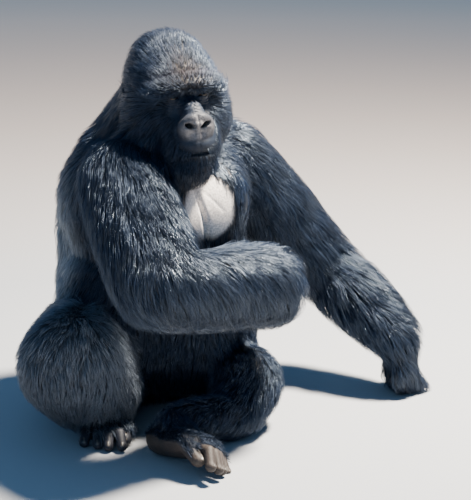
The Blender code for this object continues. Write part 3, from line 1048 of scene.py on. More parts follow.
@dataclass
class Skin:
    """The one skin that stands for all the flesh solids."""

    anatomy: Anatomy
    rim_depth: float = 0.002  # how far bare skin of the face lies inside its solid
    snout_depth: float = 0.007  # and how much further on the snout
    snout: tuple = ((0.0, -0.15, -0.06), (0.075, 0.07, 0.085))
    face_covers: Zone = Zone((0.0, -0.105, -0.03), (0.104, 0.105, 0.135), 0.8, 0.98)
    face_half_box: tuple = (0.118, 0.118, 0.142)
    face_sink: float = 0.03  # how far the shell is drawn in under each finer part
    breast_sink: float = 0.022
    digits_sink: float = 0.06
    limb_sink: float = 0.005
    limb_margin: float = 0.012
    covers: list = field(init=False, default_factory=list)
    nails: dict = field(init=False, default_factory=dict)
    reach: Volume = field(init=False)
    depth: Volume = field(init=False)
    obj: Object = field(init=False)

    def build(self) -> None:
        """Makes the body's shell, melts the fine parts onto it and keeps the result as one mesh."""
        outline = self._outline()
        self.reach = Volume(outline.low, outline.voxel, outline.values.copy())
        self.depth = self._depth_field()
        face = self._face()
        chest = self._chest(outline)
        limbs = [self._limb(name) for name in ("hand_left", "hand_right", "foot_left", "foot_right")]
        ears = [Ear(side).build(self.anatomy.head) for side in (-1, 1)]
        shell = self._shell(outline)
        self.obj = self._joined([shell, face, chest, *limbs, *ears])
        LOG.info("skin has %d points", len(self.obj.data.vertices))

    @staticmethod
    def _near(volume: Volume) -> Array:
        """Which of a volume's points have a known distance."""
        return np.abs(volume.values) < 0.9 * REACH

    def _outline(self) -> Volume:
        """Fuses the outer forms of all flesh solids but the ears.

        Returns:
            The distances to it.
        """
        points, faces, offset = [], [], 0
        for name in FLESH:
            if kind_of(name) == "ear":
                continue
            places, corners = self.anatomy.meshes[name]
            points.append(places)
            faces.append(corners + offset)
            offset += len(places)
        obj = mesh_object("outline", np.concatenate(points), np.concatenate(faces))
        fuse = obj.modifiers.new("Fuse", "REMESH")
        fuse.mode = "VOXEL"
        fuse.voxel_size = BODY_VOXEL
        settle(obj)
        places, corners = triangles_of(obj.data)
        bpy.data.objects.remove(obj)
        volume = Volume.of_mesh(places, corners, BODY_VOXEL, REACH)
        volume.soften(4)
        return volume

    def _depth_field(self) -> Volume:
        """Works out how deep the coat is round each place.

        Returns:
            The depths on a coarse grid.
        """
        low, high = (np.array(corner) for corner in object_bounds())
        depth = Volume.empty(low - 0.05, high + 0.05, DEPTH_VOXEL)
        points = depth.points()
        marks = self.anatomy.part_of(points.reshape(-1, 3))
        depths = np.array([fur_of(name).depth for name in self.anatomy.names])
        depth.values = depths[marks].reshape(points.shape[:-1]).astype(np.float32)
        depth.soften(1)
        return depth

    def _inset(self, volume: Volume) -> None:
        """Draws a surface in by the coat's depth.

        Args:
            volume: The distances to it.
        """
        near = self._near(volume)
        places = volume.points()[near]
        bare = self.anatomy.bareness(places)
        depth = self.depth.sample(places) * (1.0 - bare) + BREAST_SINK * bare
        volume.values[near] += depth.astype(np.float32)

    def _shell(self, outline: Volume) -> tuple:
        """Meshes the whole body, drawn in a little where a finer part lies over it.

        Args:
            outline: The distances to the solids' outline.

        Returns:
            Points and quads.
        """
        self._inset(outline)
        near = self._near(outline)
        places = outline.points()[near]
        extra = np.zeros(len(places))
        for area, frame, sink in self.covers:
            extra = np.maximum(extra, sink * area.share(places, frame))
        outline.values[near] += extra.astype(np.float32)
        return outline.surface()

    def _cover(self, volume: Volume, area: Zone, frame: Array | None, sink: float) -> None:
        """Cuts a fine part off at an ellipsoid and remembers that the shell lies under it.

        Args:
            volume: The part's distances.
            area: The ellipsoid.
            frame: Its frame, or None for the world.
            sink: How far the shell is drawn in.
        """
        out = (zone(volume.points(), area.centre, area.radii, frame) - 1.0) * min(area.radii)
        volume.values = np.maximum(volume.values, out.astype(np.float32))
        self.covers.append((area, frame, sink))

    def _face(self) -> tuple:
        """Makes the face at full detail.

        Returns:
            Points and quads.
        """
        head = self.anatomy.head
        points, faces = self.anatomy.meshes["head"]
        whole = Volume.of_mesh(points, faces, 2 * FACE_VOXEL, 0.024)
        whole.soften(2)
        middle = from_local(self.face_covers.centre, head)
        reach = np.array(self.face_half_box)
        volume = Volume.empty(middle - reach, middle + reach, FACE_VOXEL)
        places = volume.points()
        volume.values = whole.sample(places)
        volume.soften(3)
        bare = self.anatomy.bareness(places)
        local = (places - head[:3, 3]) @ head[:3, :3]
        snout = smooth_step(zone(local, *self.snout), 1.1, 0.7)
        under = self.depth.sample(places) * (1.0 - bare) + (self.rim_depth + self.snout_depth * snout) * bare
        volume.values += under.astype(np.float32)
        Face(Sculpture(volume, head)).carve()
        self._cover(volume, self.face_covers, head, self.face_sink)
        return volume.surface()

    def _chest(self, outline: Volume) -> tuple:
        """Makes the bare breast with its cleft.

        Args:
            outline: The distances to the solids' outline.

        Returns:
            Points and quads.
        """
        centre = np.array(Breast.covers.centre)
        volume = Volume.empty(centre - Breast.half_side, centre + Breast.half_side, CHEST_VOXEL)
        volume.values = outline.sample(volume.points())
        volume.soften(2)
        self._inset(volume)
        Breast(Sculpture(volume, np.eye(4))).carve()
        self._cover(volume, Breast.covers, None, self.breast_sink)
        return volume.surface()

    def _limb(self, name: str) -> tuple:
        """Makes a hand or a foot with separate digits.

        Args:
            name: Its solid's name.

        Returns:
            Points and quads.
        """
        points = self.anatomy.meshes[name][0]
        low, high = points.min(axis=0) - self.limb_margin, points.max(axis=0) + self.limb_margin
        low[2] = max(low[2], -0.004)
        frame, grip = self.anatomy.frames[name], GRIPS[name]
        sculpture = Sculpture(Volume.empty(low, high, LIMB_VOXEL), frame)
        side = -1 if name.endswith("left") else 1
        whole = Zone(tuple((low + high) / 2), tuple((high - low) / 2 * 1.15), 0.8, 0.98)
        foot = kind_of(name) == "foot"
        limb = Foot(sculpture, side, grip.cup) if foot else Hand(sculpture, side, grip.bends)
        self.nails[name] = limb.carve()
        self.covers += [(whole, None, self.limb_sink), (limb.covers, frame, self.digits_sink)]
        return sculpture.volume.surface()

    @staticmethod
    def _joined(shells: list) -> Object:
        """Unites shells that overlap.

        Args:
            shells: Points and quads of each.

        Returns:
            One closed mesh.
        """
        body = mesh_object("skin", *shells[0])
        for number, shell in enumerate(shells[1:]):
            part = mesh_object(f"shell_{number}", *shell)
            join = body.modifiers.new("Join", "BOOLEAN")
            join.operation, join.solver, join.object = "UNION", "MANIFOLD", part
            settle(body)
            bpy.data.objects.remove(part)
        return body


# ---- coat


@dataclass
class Patch:
    """Some of the skin's points, on one part of the body."""

    points: Array
    normals: Array
    side: str


@dataclass
class Lie:
    """Which way the hair lies on each part of the body, before it is laid flat."""

    anatomy: Anatomy
    muzzle: tuple = (0.0, -0.15, 0.0)  # hair of the head runs back from here, in the head's frame
    knee_crown: tuple = (0.02, 0.02, 0.16)  # hair of the right leg runs down from here, seen from the knee
    outward: Array = field(init=False)
    toward: Array = field(init=False)

    def __post_init__(self) -> None:
        """Works out the ways across the view and out of it."""
        turn = radians(VIEW_AZIMUTH)
        self.outward = np.array((cos(turn), sin(turn), 0.0))
        self.toward = np.array((sin(turn), -cos(turn), 0.0))

    def directions(self, points: Array, normals: Array, part: Array) -> Array:
        """Hair directions over the skin.

        Args:
            points: The skin's points.
            normals: Its normals.
            part: Each point's solid number.

        Returns:
            One vector per point.
        """
        out = np.tile(DOWN, (len(points), 1))
        for number, name in enumerate(self.anatomy.names):
            mine = part == number
            if mine.any():
                rule = getattr(self, f"_{kind_of(name)}")
                out[mine] = rule(Patch(points[mine], normals[mine], name.rsplit("_", 1)[-1]))
        return out

    def _way(self, start: str, end: str, side: str) -> Array:
        """The way from one joint to another on one side."""
        first, last = self.anatomy.bone(f"{start}_{side}", f"{end}_{side}")
        return unit(last - first)

    def _head(self, patch: Patch) -> Array:
        """Back from the muzzle, and down behind and below.

        Args:
            patch: The head's points.

        Returns:
            One vector per point.
        """
        frame = self.anatomy.head
        away = tangent(unit(patch.points - from_local(self.muzzle, frame)), patch.normals)
        local = (patch.points - frame[:3, 3]) @ frame[:3, :3]
        low = smooth_step(local[:, 2], 0.05, -0.05)[:, None]
        behind = smooth_step(local[:, 1], -0.02, 0.08)[:, None]
        return unit(away) + DOWN * (0.55 * low + 0.9 * behind)

    def _ear(self, patch: Patch) -> Array:
        """As on the head."""
        return self._head(patch)

    def _neck(self, patch: Patch) -> Array:
        """Down and outward."""
        return DOWN + 1.6 * (patch.points * np.array((1.0, 0.5, 0.0)))

    def _chest(self, patch: Patch) -> Array:
        """Down, and away from the middle."""
        out = np.sign(patch.points[:, :1]) * smooth_step(np.abs(patch.points[:, :1]), 0.02, 0.16)
        return DOWN + 0.45 * out * np.array((1.0, 0.0, 0.0))

    def _abdomen(self, patch: Patch) -> Array:
        """Down and outward."""
        return DOWN + patch.points * np.array((0.9, 0.3, 0.0))

    def _upper_arm(self, patch: Patch) -> Array:
        """Along the arm and down."""
        return self._way("shoulder", "elbow", patch.side) + 0.55 * DOWN

    def _forearm(self, patch: Patch) -> Array:
        """Down off the crossed arm, and along and outward on the straight one.

        Args:
            patch: The forearm's points.

        Returns:
            One vector, or one per point.
        """
        along = self._way("elbow", "wrist", patch.side)
        if patch.side == "right":
            front = unit(np.cross(along, UP))
            front = front * np.sign(front @ self.toward)
            return DOWN + 0.35 * along + 0.7 * front
        outer = smooth_step(patch.normals @ self.outward, -0.5, 0.4)[:, None]
        return 0.75 * along + outer * self.outward * 0.75 + (1.0 - outer) * DOWN * 0.4

    def _hand(self, patch: Patch) -> Array:
        """Along the hand."""
        return self._way("wrist", "knuckles", patch.side)

    def _off_knee(self, points: Array) -> Array:
        """Down and away from the crown of the right knee."""
        return unit(points - (self.anatomy.joints["knee_right"] + np.array(self.knee_crown))) + 0.5 * DOWN

    def _thigh(self, patch: Patch) -> Array:
        """Along the left thigh and down, and off the right knee."""
        left = patch.side == "left"
        return self._way("hip", "knee", "left") + 0.5 * DOWN if left else self._off_knee(patch.points)

    def _shin(self, patch: Patch) -> Array:
        """Along the shin, and on the right one off the knee too."""
        along = self._way("knee", "ankle", patch.side)
        return along + 0.8 * DOWN if patch.side == "left" else self._off_knee(patch.points) + 0.35 * along

    def _foot(self, patch: Patch) -> Array:
        """Along the foot."""
        return self._way("ankle", "toes", patch.side)


@dataclass
class Hide:
    """The skin's points with what the coat needs to know at each: its lie, length and markings."""

    skin: Skin
    silver_leg: float = 0.42  # how much silver is painted on the right leg at least: painted light on the leg that lies in shade
    brown_sole: float = 0.9  # how brown the bare foot is
    shaded_sole: float = 0.3  # and what is left of that on the right one: painted shade where the thigh shades that foot
    # pale tone on the nose: a painted highlight
    painted_nose_highlight: float = 0.2

    def __post_init__(self) -> None:
        """Works the fields out over the skin."""
        self.anatomy = self.skin.anatomy
        mesh = self.skin.obj.data
        self.points, self.faces = triangles_of(mesh)
        normals = np.empty(len(mesh.vertices) * 3, np.float32)
        mesh.vertex_normals.foreach_get("vector", normals)
        self.normals = normals.reshape(-1, 3).astype(np.float64)
        edges = np.empty(len(mesh.edges) * 2, np.int32)
        mesh.edges.foreach_get("vertices", edges)
        self.edges = edges.reshape(-1, 2)
        self.part = self.anatomy.part_of(self.points)
        self.kinds = np.array([kind_of(name) for name in self.anatomy.names])[self.part]
        self.bare = self._bare()
        self.fur = self._fur()
        self.stubble = 0.8 * STUBBLED_LIPS.share(self.points, self.anatomy.head)
        self.shine = WET_NOSE.share(self.points, self.anatomy.head)
        flow = tangent(Lie(self.anatomy).directions(self.points, self.normals, self.part), self.normals)
        self.flow = unit(tangent(self._spread(unit(flow), 34), self.normals))
        self.marks = self._marks()

    def _spread(self, rows: Array, passes: int) -> Array:
        """Averages a field with its neighbours over the skin.

        Args:
            rows: One row per point.
            passes: How many times.

        Returns:
            The smoother rows.
        """
        count = len(self.points)
        a, b = self.edges.T
        share = np.bincount(a, minlength=count) + np.bincount(b, minlength=count) + 1.0
        for _ in range(passes):
            out = np.empty_like(rows)
            for column in range(rows.shape[1]):
                values = rows[:, column]
                total = values + np.bincount(a, values[b], count) + np.bincount(b, values[a], count)
                out[:, column] = total / share
            rows = out
        return rows

    def _bare(self) -> Array:
        """Works out how bare the skin is, with soles, digits and ears.

        Returns:
            One share per point.
        """
        bare = self.anatomy.bareness(self.points)
        bare = np.where(self.kinds == "ear", np.maximum(bare, 0.7), bare)
        for name, frame in self.anatomy.frames.items():
            mine = self.part == self.anatomy.number(name)
            along, _, up = local_to(self.points, frame).T
            foot = kind_of(name) == "foot"
            under = smooth_step(self.normals @ frame[:3, 2], 0.05, -0.35) * foot
            digits = smooth_step(along, 0.176, 0.204) if foot else smooth_step(along, 0.125, 0.145)
            heel = smooth_step(up, 0.046, 0.03) * smooth_step(along, 0.075, 0.045) * foot
            bare = np.where(mine, np.maximum.reduce((bare, under, digits, heel + under)), bare)
        return bare

    def _fur(self) -> Array:
        """Spreads each part's row of fur over the skin and trims it on the face.

        Returns:
            Length, width, lift, sag and density at each point.
        """
        coats = [fur_of(name) for name in self.anatomy.names]
        rows = np.array([(fur.length, fur.width, fur.lift, fur.sag, fur.density) for fur in coats])
        fur = self._spread(rows[self.part], 24)
        places, head = self.points, self.anatomy.head
        cheek = smooth_step(np.abs(local_to(places, head)[:, 0]), 0.05, 0.09) * (self.kinds == "head")
        brow, jaw = SHORT_BROW.share(places, head), SHORT_JAW.share(places, head)
        fur[:, 0] *= (1.0 - 0.62 * brow) * (1.0 - 0.45 * jaw) * (1.0 + 0.25 * cheek)
        fur[:, 1] *= 1.0 - 0.4 * FINE_MUZZLE.share(places, head)
        fur[:, 2] += 16.0 * RAISED_VALLEY.share(places, head)
        return fur

    def _marks(self) -> Array:
        """Works out the markings that skin and coat share.

        Returns:
            Silver, rusty, bare and pale shares at each point.
        """
        points, number = self.points, self.anatomy.number
        trunk = np.isin(self.kinds, ("abdomen", "chest", "thigh")).astype(float)
        silver = trunk * smooth_step(points[:, 1], -0.08, 0.04) * smooth_step(points[:, 2], 0.69, 0.5)
        silver *= smooth_step(points[:, 2], 0.03, 0.16)
        leg = np.isin(self.part, [number(name) for name in ("thigh_right", "shin_right")])
        # painted light: silver laid on the right leg stands in for the sky light on it
        silver = np.maximum(silver, self.silver_leg * leg)
        rust = np.zeros(len(points))
        for tone, most in BROWN_HAIR:
            rust = np.maximum(rust, most * tone.share(points, self.anatomy.head))
        sole = np.where(self.kinds == "foot", self.brown_sole, 0.0)
        # painted shade: the right foot's sole is less brown and so darker, where the thigh shades it
        shaded = np.where(self.part == number("foot_right"), self.shaded_sole, 1.0)
        rust = np.maximum(rust, sole * shaded * self.bare**2)
        pale = PALE_BREAST.share(points, ragged=0.06 * waves(points, 0.016, SEED + 1)[:, 0])
        # painted highlight: the wet nose gets part of the pale tone
        pale = np.maximum(pale, self.painted_nose_highlight * self.shine)
        return self._spread(np.stack((silver, rust, self.bare, pale), axis=-1), 3)


@dataclass(frozen=True)
class Piece:
    """One mesh of the coat.

    Its unwrap is rolled round an axis: two joint names, or None for an upright line through it.
    """

    name: str
    parts: tuple
    rings: int = 2
    axis: tuple | None = None
    behind: bool | None = None


PIECES = (
    Piece("coat_head", ("head", "ear_left", "ear_right")),
    Piece("coat_neck", ("neck",)),
    Piece("coat_chest", ("chest",)),
    Piece("coat_belly", ("abdomen",), behind=False),
    Piece("coat_back", ("abdomen",), behind=True),
    Piece("coat_upper_arm_right", ("upper_arm_right",), axis=("shoulder_right", "elbow_right")),
    Piece("coat_upper_arm_left", ("upper_arm_left",), axis=("shoulder_left", "elbow_left")),
    Piece("coat_forearm_right", ("forearm_right", "hand_right"), 3, ("elbow_right", "wrist_right")),
    Piece("coat_forearm_left", ("forearm_left", "hand_left"), 2, ("elbow_left", "wrist_left")),
    Piece("coat_leg_right", ("thigh_right", "shin_right", "foot_right")),
    Piece("coat_leg_left", ("thigh_left", "shin_left", "foot_left"), axis=("knee_left", "ankle_left")),
)


@dataclass
class Tufts:
    """What each tuft of a piece is grown from, one row per tuft."""

    roots: Array
    normals: Array
    flow: Array
    fur: Array
    marks: Array
    bare: Array


@dataclass
class Coat:
    """The fur, as closed tapering tufts over the skin, whose tips keep to the solids' outline."""

    hide: Hide
    reach: Volume
    sides: int = 3
    swells: dict = field(default_factory=lambda: {2: (1.0, 0.66), 3: (1.0, 0.8, 0.55)})  # by number of rings
    flatness: float = 0.55  # thickness of a tuft, as a share of its width
    most_triangles: int = 184000  # of one piece
    tip_margin: float = -0.0035  # tips end this far inside the outline, or outside it where this is negative
    stray: float = 0.013  # a tuft that leaves the outline by more is left out
    lock_sizes: tuple = (11, 90)  # tufts in a small lock and in a large one
    patch: float = 0.0015  # half the side of a tuft's patch on the map

    def __post_init__(self) -> None:
        """Works out how much grows on each triangle of the skin."""
        hide = self.hide
        a, b, c = (hide.points[hide.faces[:, corner]] for corner in range(3))
        self.area = 0.5 * np.linalg.norm(np.cross(b - a, c - a), axis=1)
        cover = np.maximum(1.0 - smooth_step(hide.bare, 0.4, 0.95), hide.stubble)
        growth = hide.fur[:, 4] * cover * np.clip(0.03 / hide.fur[:, 0], 1.0, 3.0)
        self.growth = growth[hide.faces].mean(axis=1)
        self.middle = (a + b + c) / 3.0
        self.face_part = hide.part[hide.faces[:, 0]]

    def build(self, piece: Piece, number: int) -> Object:
        """Grows one piece of the coat.

        Args:
            piece: Which part of the body it covers.
            number: The piece's number, which picks its random numbers.

        Returns:
            The piece's object.
        """
        random = np.random.default_rng(SEED + number)
        mine = np.isin(self.face_part, [self.hide.anatomy.number(name) for name in piece.parts])
        weight = self.area * self.growth * mine
        if piece.behind is not None:
            weight = weight * ((self.middle[:, 1] > 0.02) == piece.behind)
        count = min(int(weight.sum()), self.most_triangles // (2 * self.sides * piece.rings))
        LOG.info("%s: %d of %d tufts", piece.name, count, int(weight.sum()))
        tufts = self._planted(weight, count, random)
        spine, gloss, kept = self._spines(tufts, piece.rings, random)
        tufts = Tufts(*(rows[kept] for rows in vars(tufts).values()))
        return self._mesh(piece, tufts, spine[kept], gloss[kept], random)

    def _planted(self, weight: Array, count: int, random: np.random.Generator) -> Tufts:
        """Picks places on the skin and reads its fields there.

        Args:
            weight: How likely each triangle is.
            count: How many tufts there are.
            random: Source of random numbers.

        Returns:
            The tufts.
        """
        hide = self.hide
        picked = random.choice(len(weight), size=count, p=weight / weight.sum())
        share = random.dirichlet((1.0, 1.0, 1.0), count)
        corners = hide.faces[picked]
        fields = (hide.points, hide.normals, hide.flow, hide.fur, hide.marks, hide.bare[:, None])
        mixed = (np.einsum("ij,ijk->ik", share, rows[corners]) for rows in fields)
        roots, normals, flow, fur, marks, bare = mixed
        normals = unit(normals)
        return Tufts(roots, normals, unit(tangent(flow, normals)), fur, marks, bare[:, 0])

    def _spines(self, tufts: Tufts, rings: int, random: np.random.Generator) -> tuple:
        """Draws the tufts' centre lines, from the root in the skin to the tip.

        Args:
            tufts: The tufts.
            rings: How many rings each tuft has between its ends.
            random: Source of random numbers.

        Returns:
            The lines' points, each tuft's gloss, and which tufts are kept.
        """
        roots, normals, fur, count = tufts.roots, tufts.normals, tufts.fur, len(tufts.roots)
        leader, lock = (self._leaders(roots, each, random) for each in self.lock_sizes)
        locks = 0.6 * random.normal(size=(count, 3))[leader] + 0.8 * random.normal(size=(count, 3))[lock]
        own = random.normal(size=(count, 3))
        start, end = self._ways(tufts, locks, own)
        short = 1.0 - 0.78 * smooth_step(tufts.bare, 0.05, 0.95)
        length = fur[:, 0] * short * np.clip(1.0 + 0.16 * locks[:, 2] + 0.14 * own[:, 2], 0.45, 1.5)
        stations = np.concatenate(((0.0,), np.linspace(0.16, 1.0, rings + 1)))
        spine = np.empty((count, len(stations), 3))
        gather = np.clip((fur[:, :1] - 0.015) / 0.06, 0.25, 1.0)
        pull = ((roots[leader] - roots) * 0.45 + (roots[lock] - roots) * 0.32) * gather
        for number, t in enumerate(stations):
            reach = start * (t - 0.5 * t * t) + end * (0.5 * t * t)
            way = reach * length[:, None] * 1.05
            spine[:, number] = roots + way + pull * t * t - normals * 0.002 * (t == 0)
        proud = np.clip(self.reach.sample(roots) + 0.008, 0.0, 0.012)
        ragged = (0.06 + 0.4 * fur[:, 3]) * length * np.abs(locks[:, 0]) * np.clip(own[:, 0], 0.0, 1.6)
        for _ in range(2):
            gap = self.reach.sample(spine[:, -1]) + self.tip_margin - proud
            gap -= ragged
            shift = -np.where(gap > 0.0, gap, np.maximum(gap, -0.01) * 0.55)
            spine += normals[:, None, :] * shift[:, None, None] * (stations**1.6)[None, :, None]
        for number in range(1, len(stations)):
            over = np.maximum(self.reach.sample(spine[:, number]) - 0.006 - proud, 0.0)
            spine[:, number] -= normals * over[:, None]
        spine[..., 2] = np.maximum(spine[..., 2], 0.002)
        gloss = random.random(count)[lock]
        return spine, gloss, self.reach.sample(spine).max(axis=1) < self.stray + proud

    @staticmethod
    def _ways(tufts: Tufts, locks: Array, own: Array) -> tuple[Array, Array]:
        """Works out which way each tuft leaves the skin and which way its tip points.

        Args:
            tufts: The tufts.
            locks: Random numbers shared by a lock.
            own: Random numbers of each tuft.

        Returns:
            Both ways.
        """
        normals, fur = tufts.normals, tufts.fur
        sideways = np.cross(normals, tufts.flow)
        calm = 1.0 - 0.4 * np.abs(2.0 * np.clip((fur[:, :1] - 0.034) / 0.071, 0.0, 1.0) - 1.0)
        drift = waves(tufts.roots, 0.03, SEED)[:, :1]
        swing = (0.16 * locks[:, :1] + 0.07 * own[:, :1] + 0.14 * drift) * calm
        lean = unit(tufts.flow + sideways * swing)
        stir = calm[:, 0] * (0.2 * locks[:, 1] + 0.12 * own[:, 1])
        lift = np.radians(fur[:, 2]) * np.clip(1.0 + stir, 0.3, 1.7)
        sag = tangent(np.tile(DOWN, (len(fur), 1)), normals) * fur[:, 3:4]
        start = lean * np.cos(lift)[:, None] + normals * np.sin(lift)[:, None]
        return start, unit(lean + normals * (0.1 + 0.05 * own[:, 2:3]) + sag)

    @staticmethod
    def _leaders(roots: Array, each: int, random: np.random.Generator) -> Array:
        """Picks the neighbour that each tuft's lock gathers round.

        Args:
            roots: Where the tufts stand.
            each: About how many tufts a lock has.
            random: Source of random numbers.

        Returns:
            The neighbours' numbers.
        """
        chosen = random.choice(len(roots), size=max(1, len(roots) // each), replace=False)
        tree = KDTree(len(chosen))
        for number in chosen:
            tree.insert(roots[number], int(number))
        tree.balance()
        return np.array([tree.find(root)[1] for root in roots])

    def _mesh(
        self, piece: Piece, tufts: Tufts, spine: Array, gloss: Array, random: np.random.Generator
    ) -> Object:
        """Puts closed tapering tubes, pointed at both ends, round the centre lines.

        Args:
            piece: The piece that they make.
            tufts: The tufts.
            spine: Points of their centre lines.
            gloss: Their gloss.
            random: Source of random numbers.

        Returns:
            The piece's object.
        """
        count, stations = spine.shape[:2]
        rings = stations - 2
        heading = unit(spine[:, -1] - spine[:, 0])
        across = unit(np.cross(heading, tufts.normals))
        over = np.cross(across, heading)
        width = tufts.fur[:, 1] * random.uniform(0.75, 1.3, count)
        each = 2 + rings * self.sides
        points = np.empty((count, each, 3))
        points[:, 0], points[:, -1] = spine[:, 0], spine[:, -1]
        along = np.zeros(each)
        along[-1] = 1.0
        patch = np.zeros((each, 2))
        for ring, swell in enumerate(self.swells[rings]):
            for side in range(self.sides):
                angle = 2.0 * pi * side / self.sides + pi / 2
                offset = across * cos(angle) + over * sin(angle) * self.flatness
                slot = 1 + ring * self.sides + side
                points[:, slot] = spine[:, ring + 1] + offset * (0.5 * swell * width)[:, None]
                along[slot] = (ring + 1) / (rings + 1)
                patch[slot] = (self.patch * swell * cos(angle), self.patch * swell * sin(angle))
        corners = (np.arange(count)[:, None, None] * each + self._tuft_faces(rings)[None]).reshape(-1, 3)
        obj = mesh_object(piece.name, points.reshape(-1, 3), corners)
        strand = np.empty((count, each, 4))
        strand[..., 0] = random.random(count)[:, None]
        strand[..., 1] = along
        strand[..., 2] = random.random(count)[:, None]
        strand[..., 3] = gloss[:, None]
        store(obj.data, "strand", strand.reshape(-1, 4))
        store(obj.data, "marks", np.repeat(tufts.marks, each, axis=0))
        self._unwrap(obj.data, piece, tufts.roots, patch, corners)
        return obj

    def _tuft_faces(self, rings: int) -> Array:
        """Lists the triangles of one tuft.

        Args:
            rings: How many rings it has between its ends.

        Returns:
            Corner numbers, one row for each triangle.
        """
        sides, faces = self.sides, []
        tip = 1 + rings * sides
        for side in range(sides):
            after = (side + 1) % sides
            faces.append((0, 1 + after, 1 + side))
            for ring in range(rings - 1):
                low, high = 1 + ring * sides, 1 + (ring + 1) * sides
                faces.append((low + side, low + after, high + after))
                faces.append((low + side, high + after, high + side))
            last = 1 + (rings - 1) * sides
            faces.append((last + side, last + after, tip))
        return np.array(faces)

    def _unwrap(
        self, mesh: bpy.types.Mesh, piece: Piece, roots: Array, patch: Array, corners: Array
    ) -> None:
        """Lays out the map for baking: roots unrolled round the part's axis, and a small patch for each tuft.

        Args:
            mesh: The piece's mesh.
            piece: The piece.
            roots: Where its tufts stand.
            patch: One tuft's own map round its root's place.
            corners: Vertex numbers of the piece's triangles.
        """
        if piece.axis:
            start, end = self.hide.anatomy.bone(*piece.axis)
        else:
            start = roots.mean(axis=0)
            end = start + UP
        axis = unit(end - start)
        side = unit(np.cross(axis, (0.31, 0.92, 0.23)))
        other = np.cross(axis, side)
        offset = roots - start
        height = offset @ axis
        angle = np.arctan2(offset @ other, offset @ side) / (2 * pi) + 0.5
        low, high = height.min(), height.max()
        place = np.stack((0.01 + 0.98 * angle, 0.01 + 0.98 * (height - low) / (high - low)), axis=-1)
        table = (place[:, None, :] + patch[None]).reshape(-1, 2)
        layer = mesh.uv_layers.new(name="OFBake")
        layer.uv.foreach_set("vector", np.ascontiguousarray(table[corners.ravel()], np.float32).ravel())


# ---- eyes and nails


@dataclass
class Eye:
    """An eyeball whose cornea starts at one share of its radius and bulges by the other."""

    side: str
    frame: Array
    cornea: tuple = (0.86, 0.05)
    dip: float = 98.0  # how far its axis is turned down from straight up, in degrees

    def build(self) -> Object:
        """Makes the eyeball in the place of its solid.

        Returns:
            The eyeball's object.
        """
        low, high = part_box(f"eye_{self.side}")
        middle = (low + high) / 2
        bpy.ops.mesh.primitive_uv_sphere_add(segments=48, ring_count=32, radius=EYE_RADIUS)
        obj = bpy.context.active_object
        obj.name = f"eyeball_{self.side}"
        points, _ = triangles_of(obj.data)
        start, rise = self.cornea
        share = smooth_step(points[:, 2] / EYE_RADIUS, start, 1.0)
        points = points * (1.0 + rise * share[:, None])
        gaze = np.concatenate((points, np.ones((len(points), 1))), axis=1)
        store(obj.data, "gaze", gaze / EYE_RADIUS)
        turn = Matrix(self.frame).to_3x3() @ Euler((radians(self.dip), 0.0, 0.0)).to_matrix()
        placed = points @ np.array(turn).T + np.array(middle)
        obj.data.vertices.foreach_set("co", np.ascontiguousarray(placed, np.float32).ravel())
        obj.data.polygons.foreach_set("use_smooth", np.full(len(obj.data.polygons), True))
        obj.data.update()
        return obj


@dataclass
class Nails:
    """The nails of one hand or foot, as thin curved shells set into the digits' tips."""

    name: str
    frame: Array
    rows: list
    shape: tuple = (1.25, 0.95, 0.3)  # length, width and thickness, in a nail's size
    arch: float = 0.45

    def build(self) -> Object:
        """Makes one mesh of them all.

        Returns:
            The nails' object.
        """
        bpy.ops.mesh.primitive_uv_sphere_add(segments=20, ring_count=12, radius=1.0)
        ball = bpy.context.active_object
        shell, faces = triangles_of(ball.data)
        bpy.data.objects.remove(ball)
        places, corners = [], []
        for number, (place, out, size) in enumerate(self.rows):
            z = unit(np.array(out, float))
            y = np.array((0.0, 1.0, 0.0))
            arched = shell * np.array(self.shape) * size
            arched[:, 2] -= self.arch * arched[:, 1] ** 2 / size
            local = arched @ np.stack((np.cross(y, z), y, z)) + np.array(place)
            placed = local @ self.frame[:3, :3].T + self.frame[:3, 3]
            placed[:, 2] = np.maximum(placed[:, 2], FLOOR_GAP)
            places.append(placed)
            corners.append(faces + number * len(shell))
        return mesh_object(f"nails_{self.name}", np.concatenate(places), np.concatenate(corners))


# ---- materials

COLOUR, NUMBER = "NodeSocketColor", "NodeSocketFloat"
TONES = ("Base", "Silver", "Rust", "Naked", "Pale")


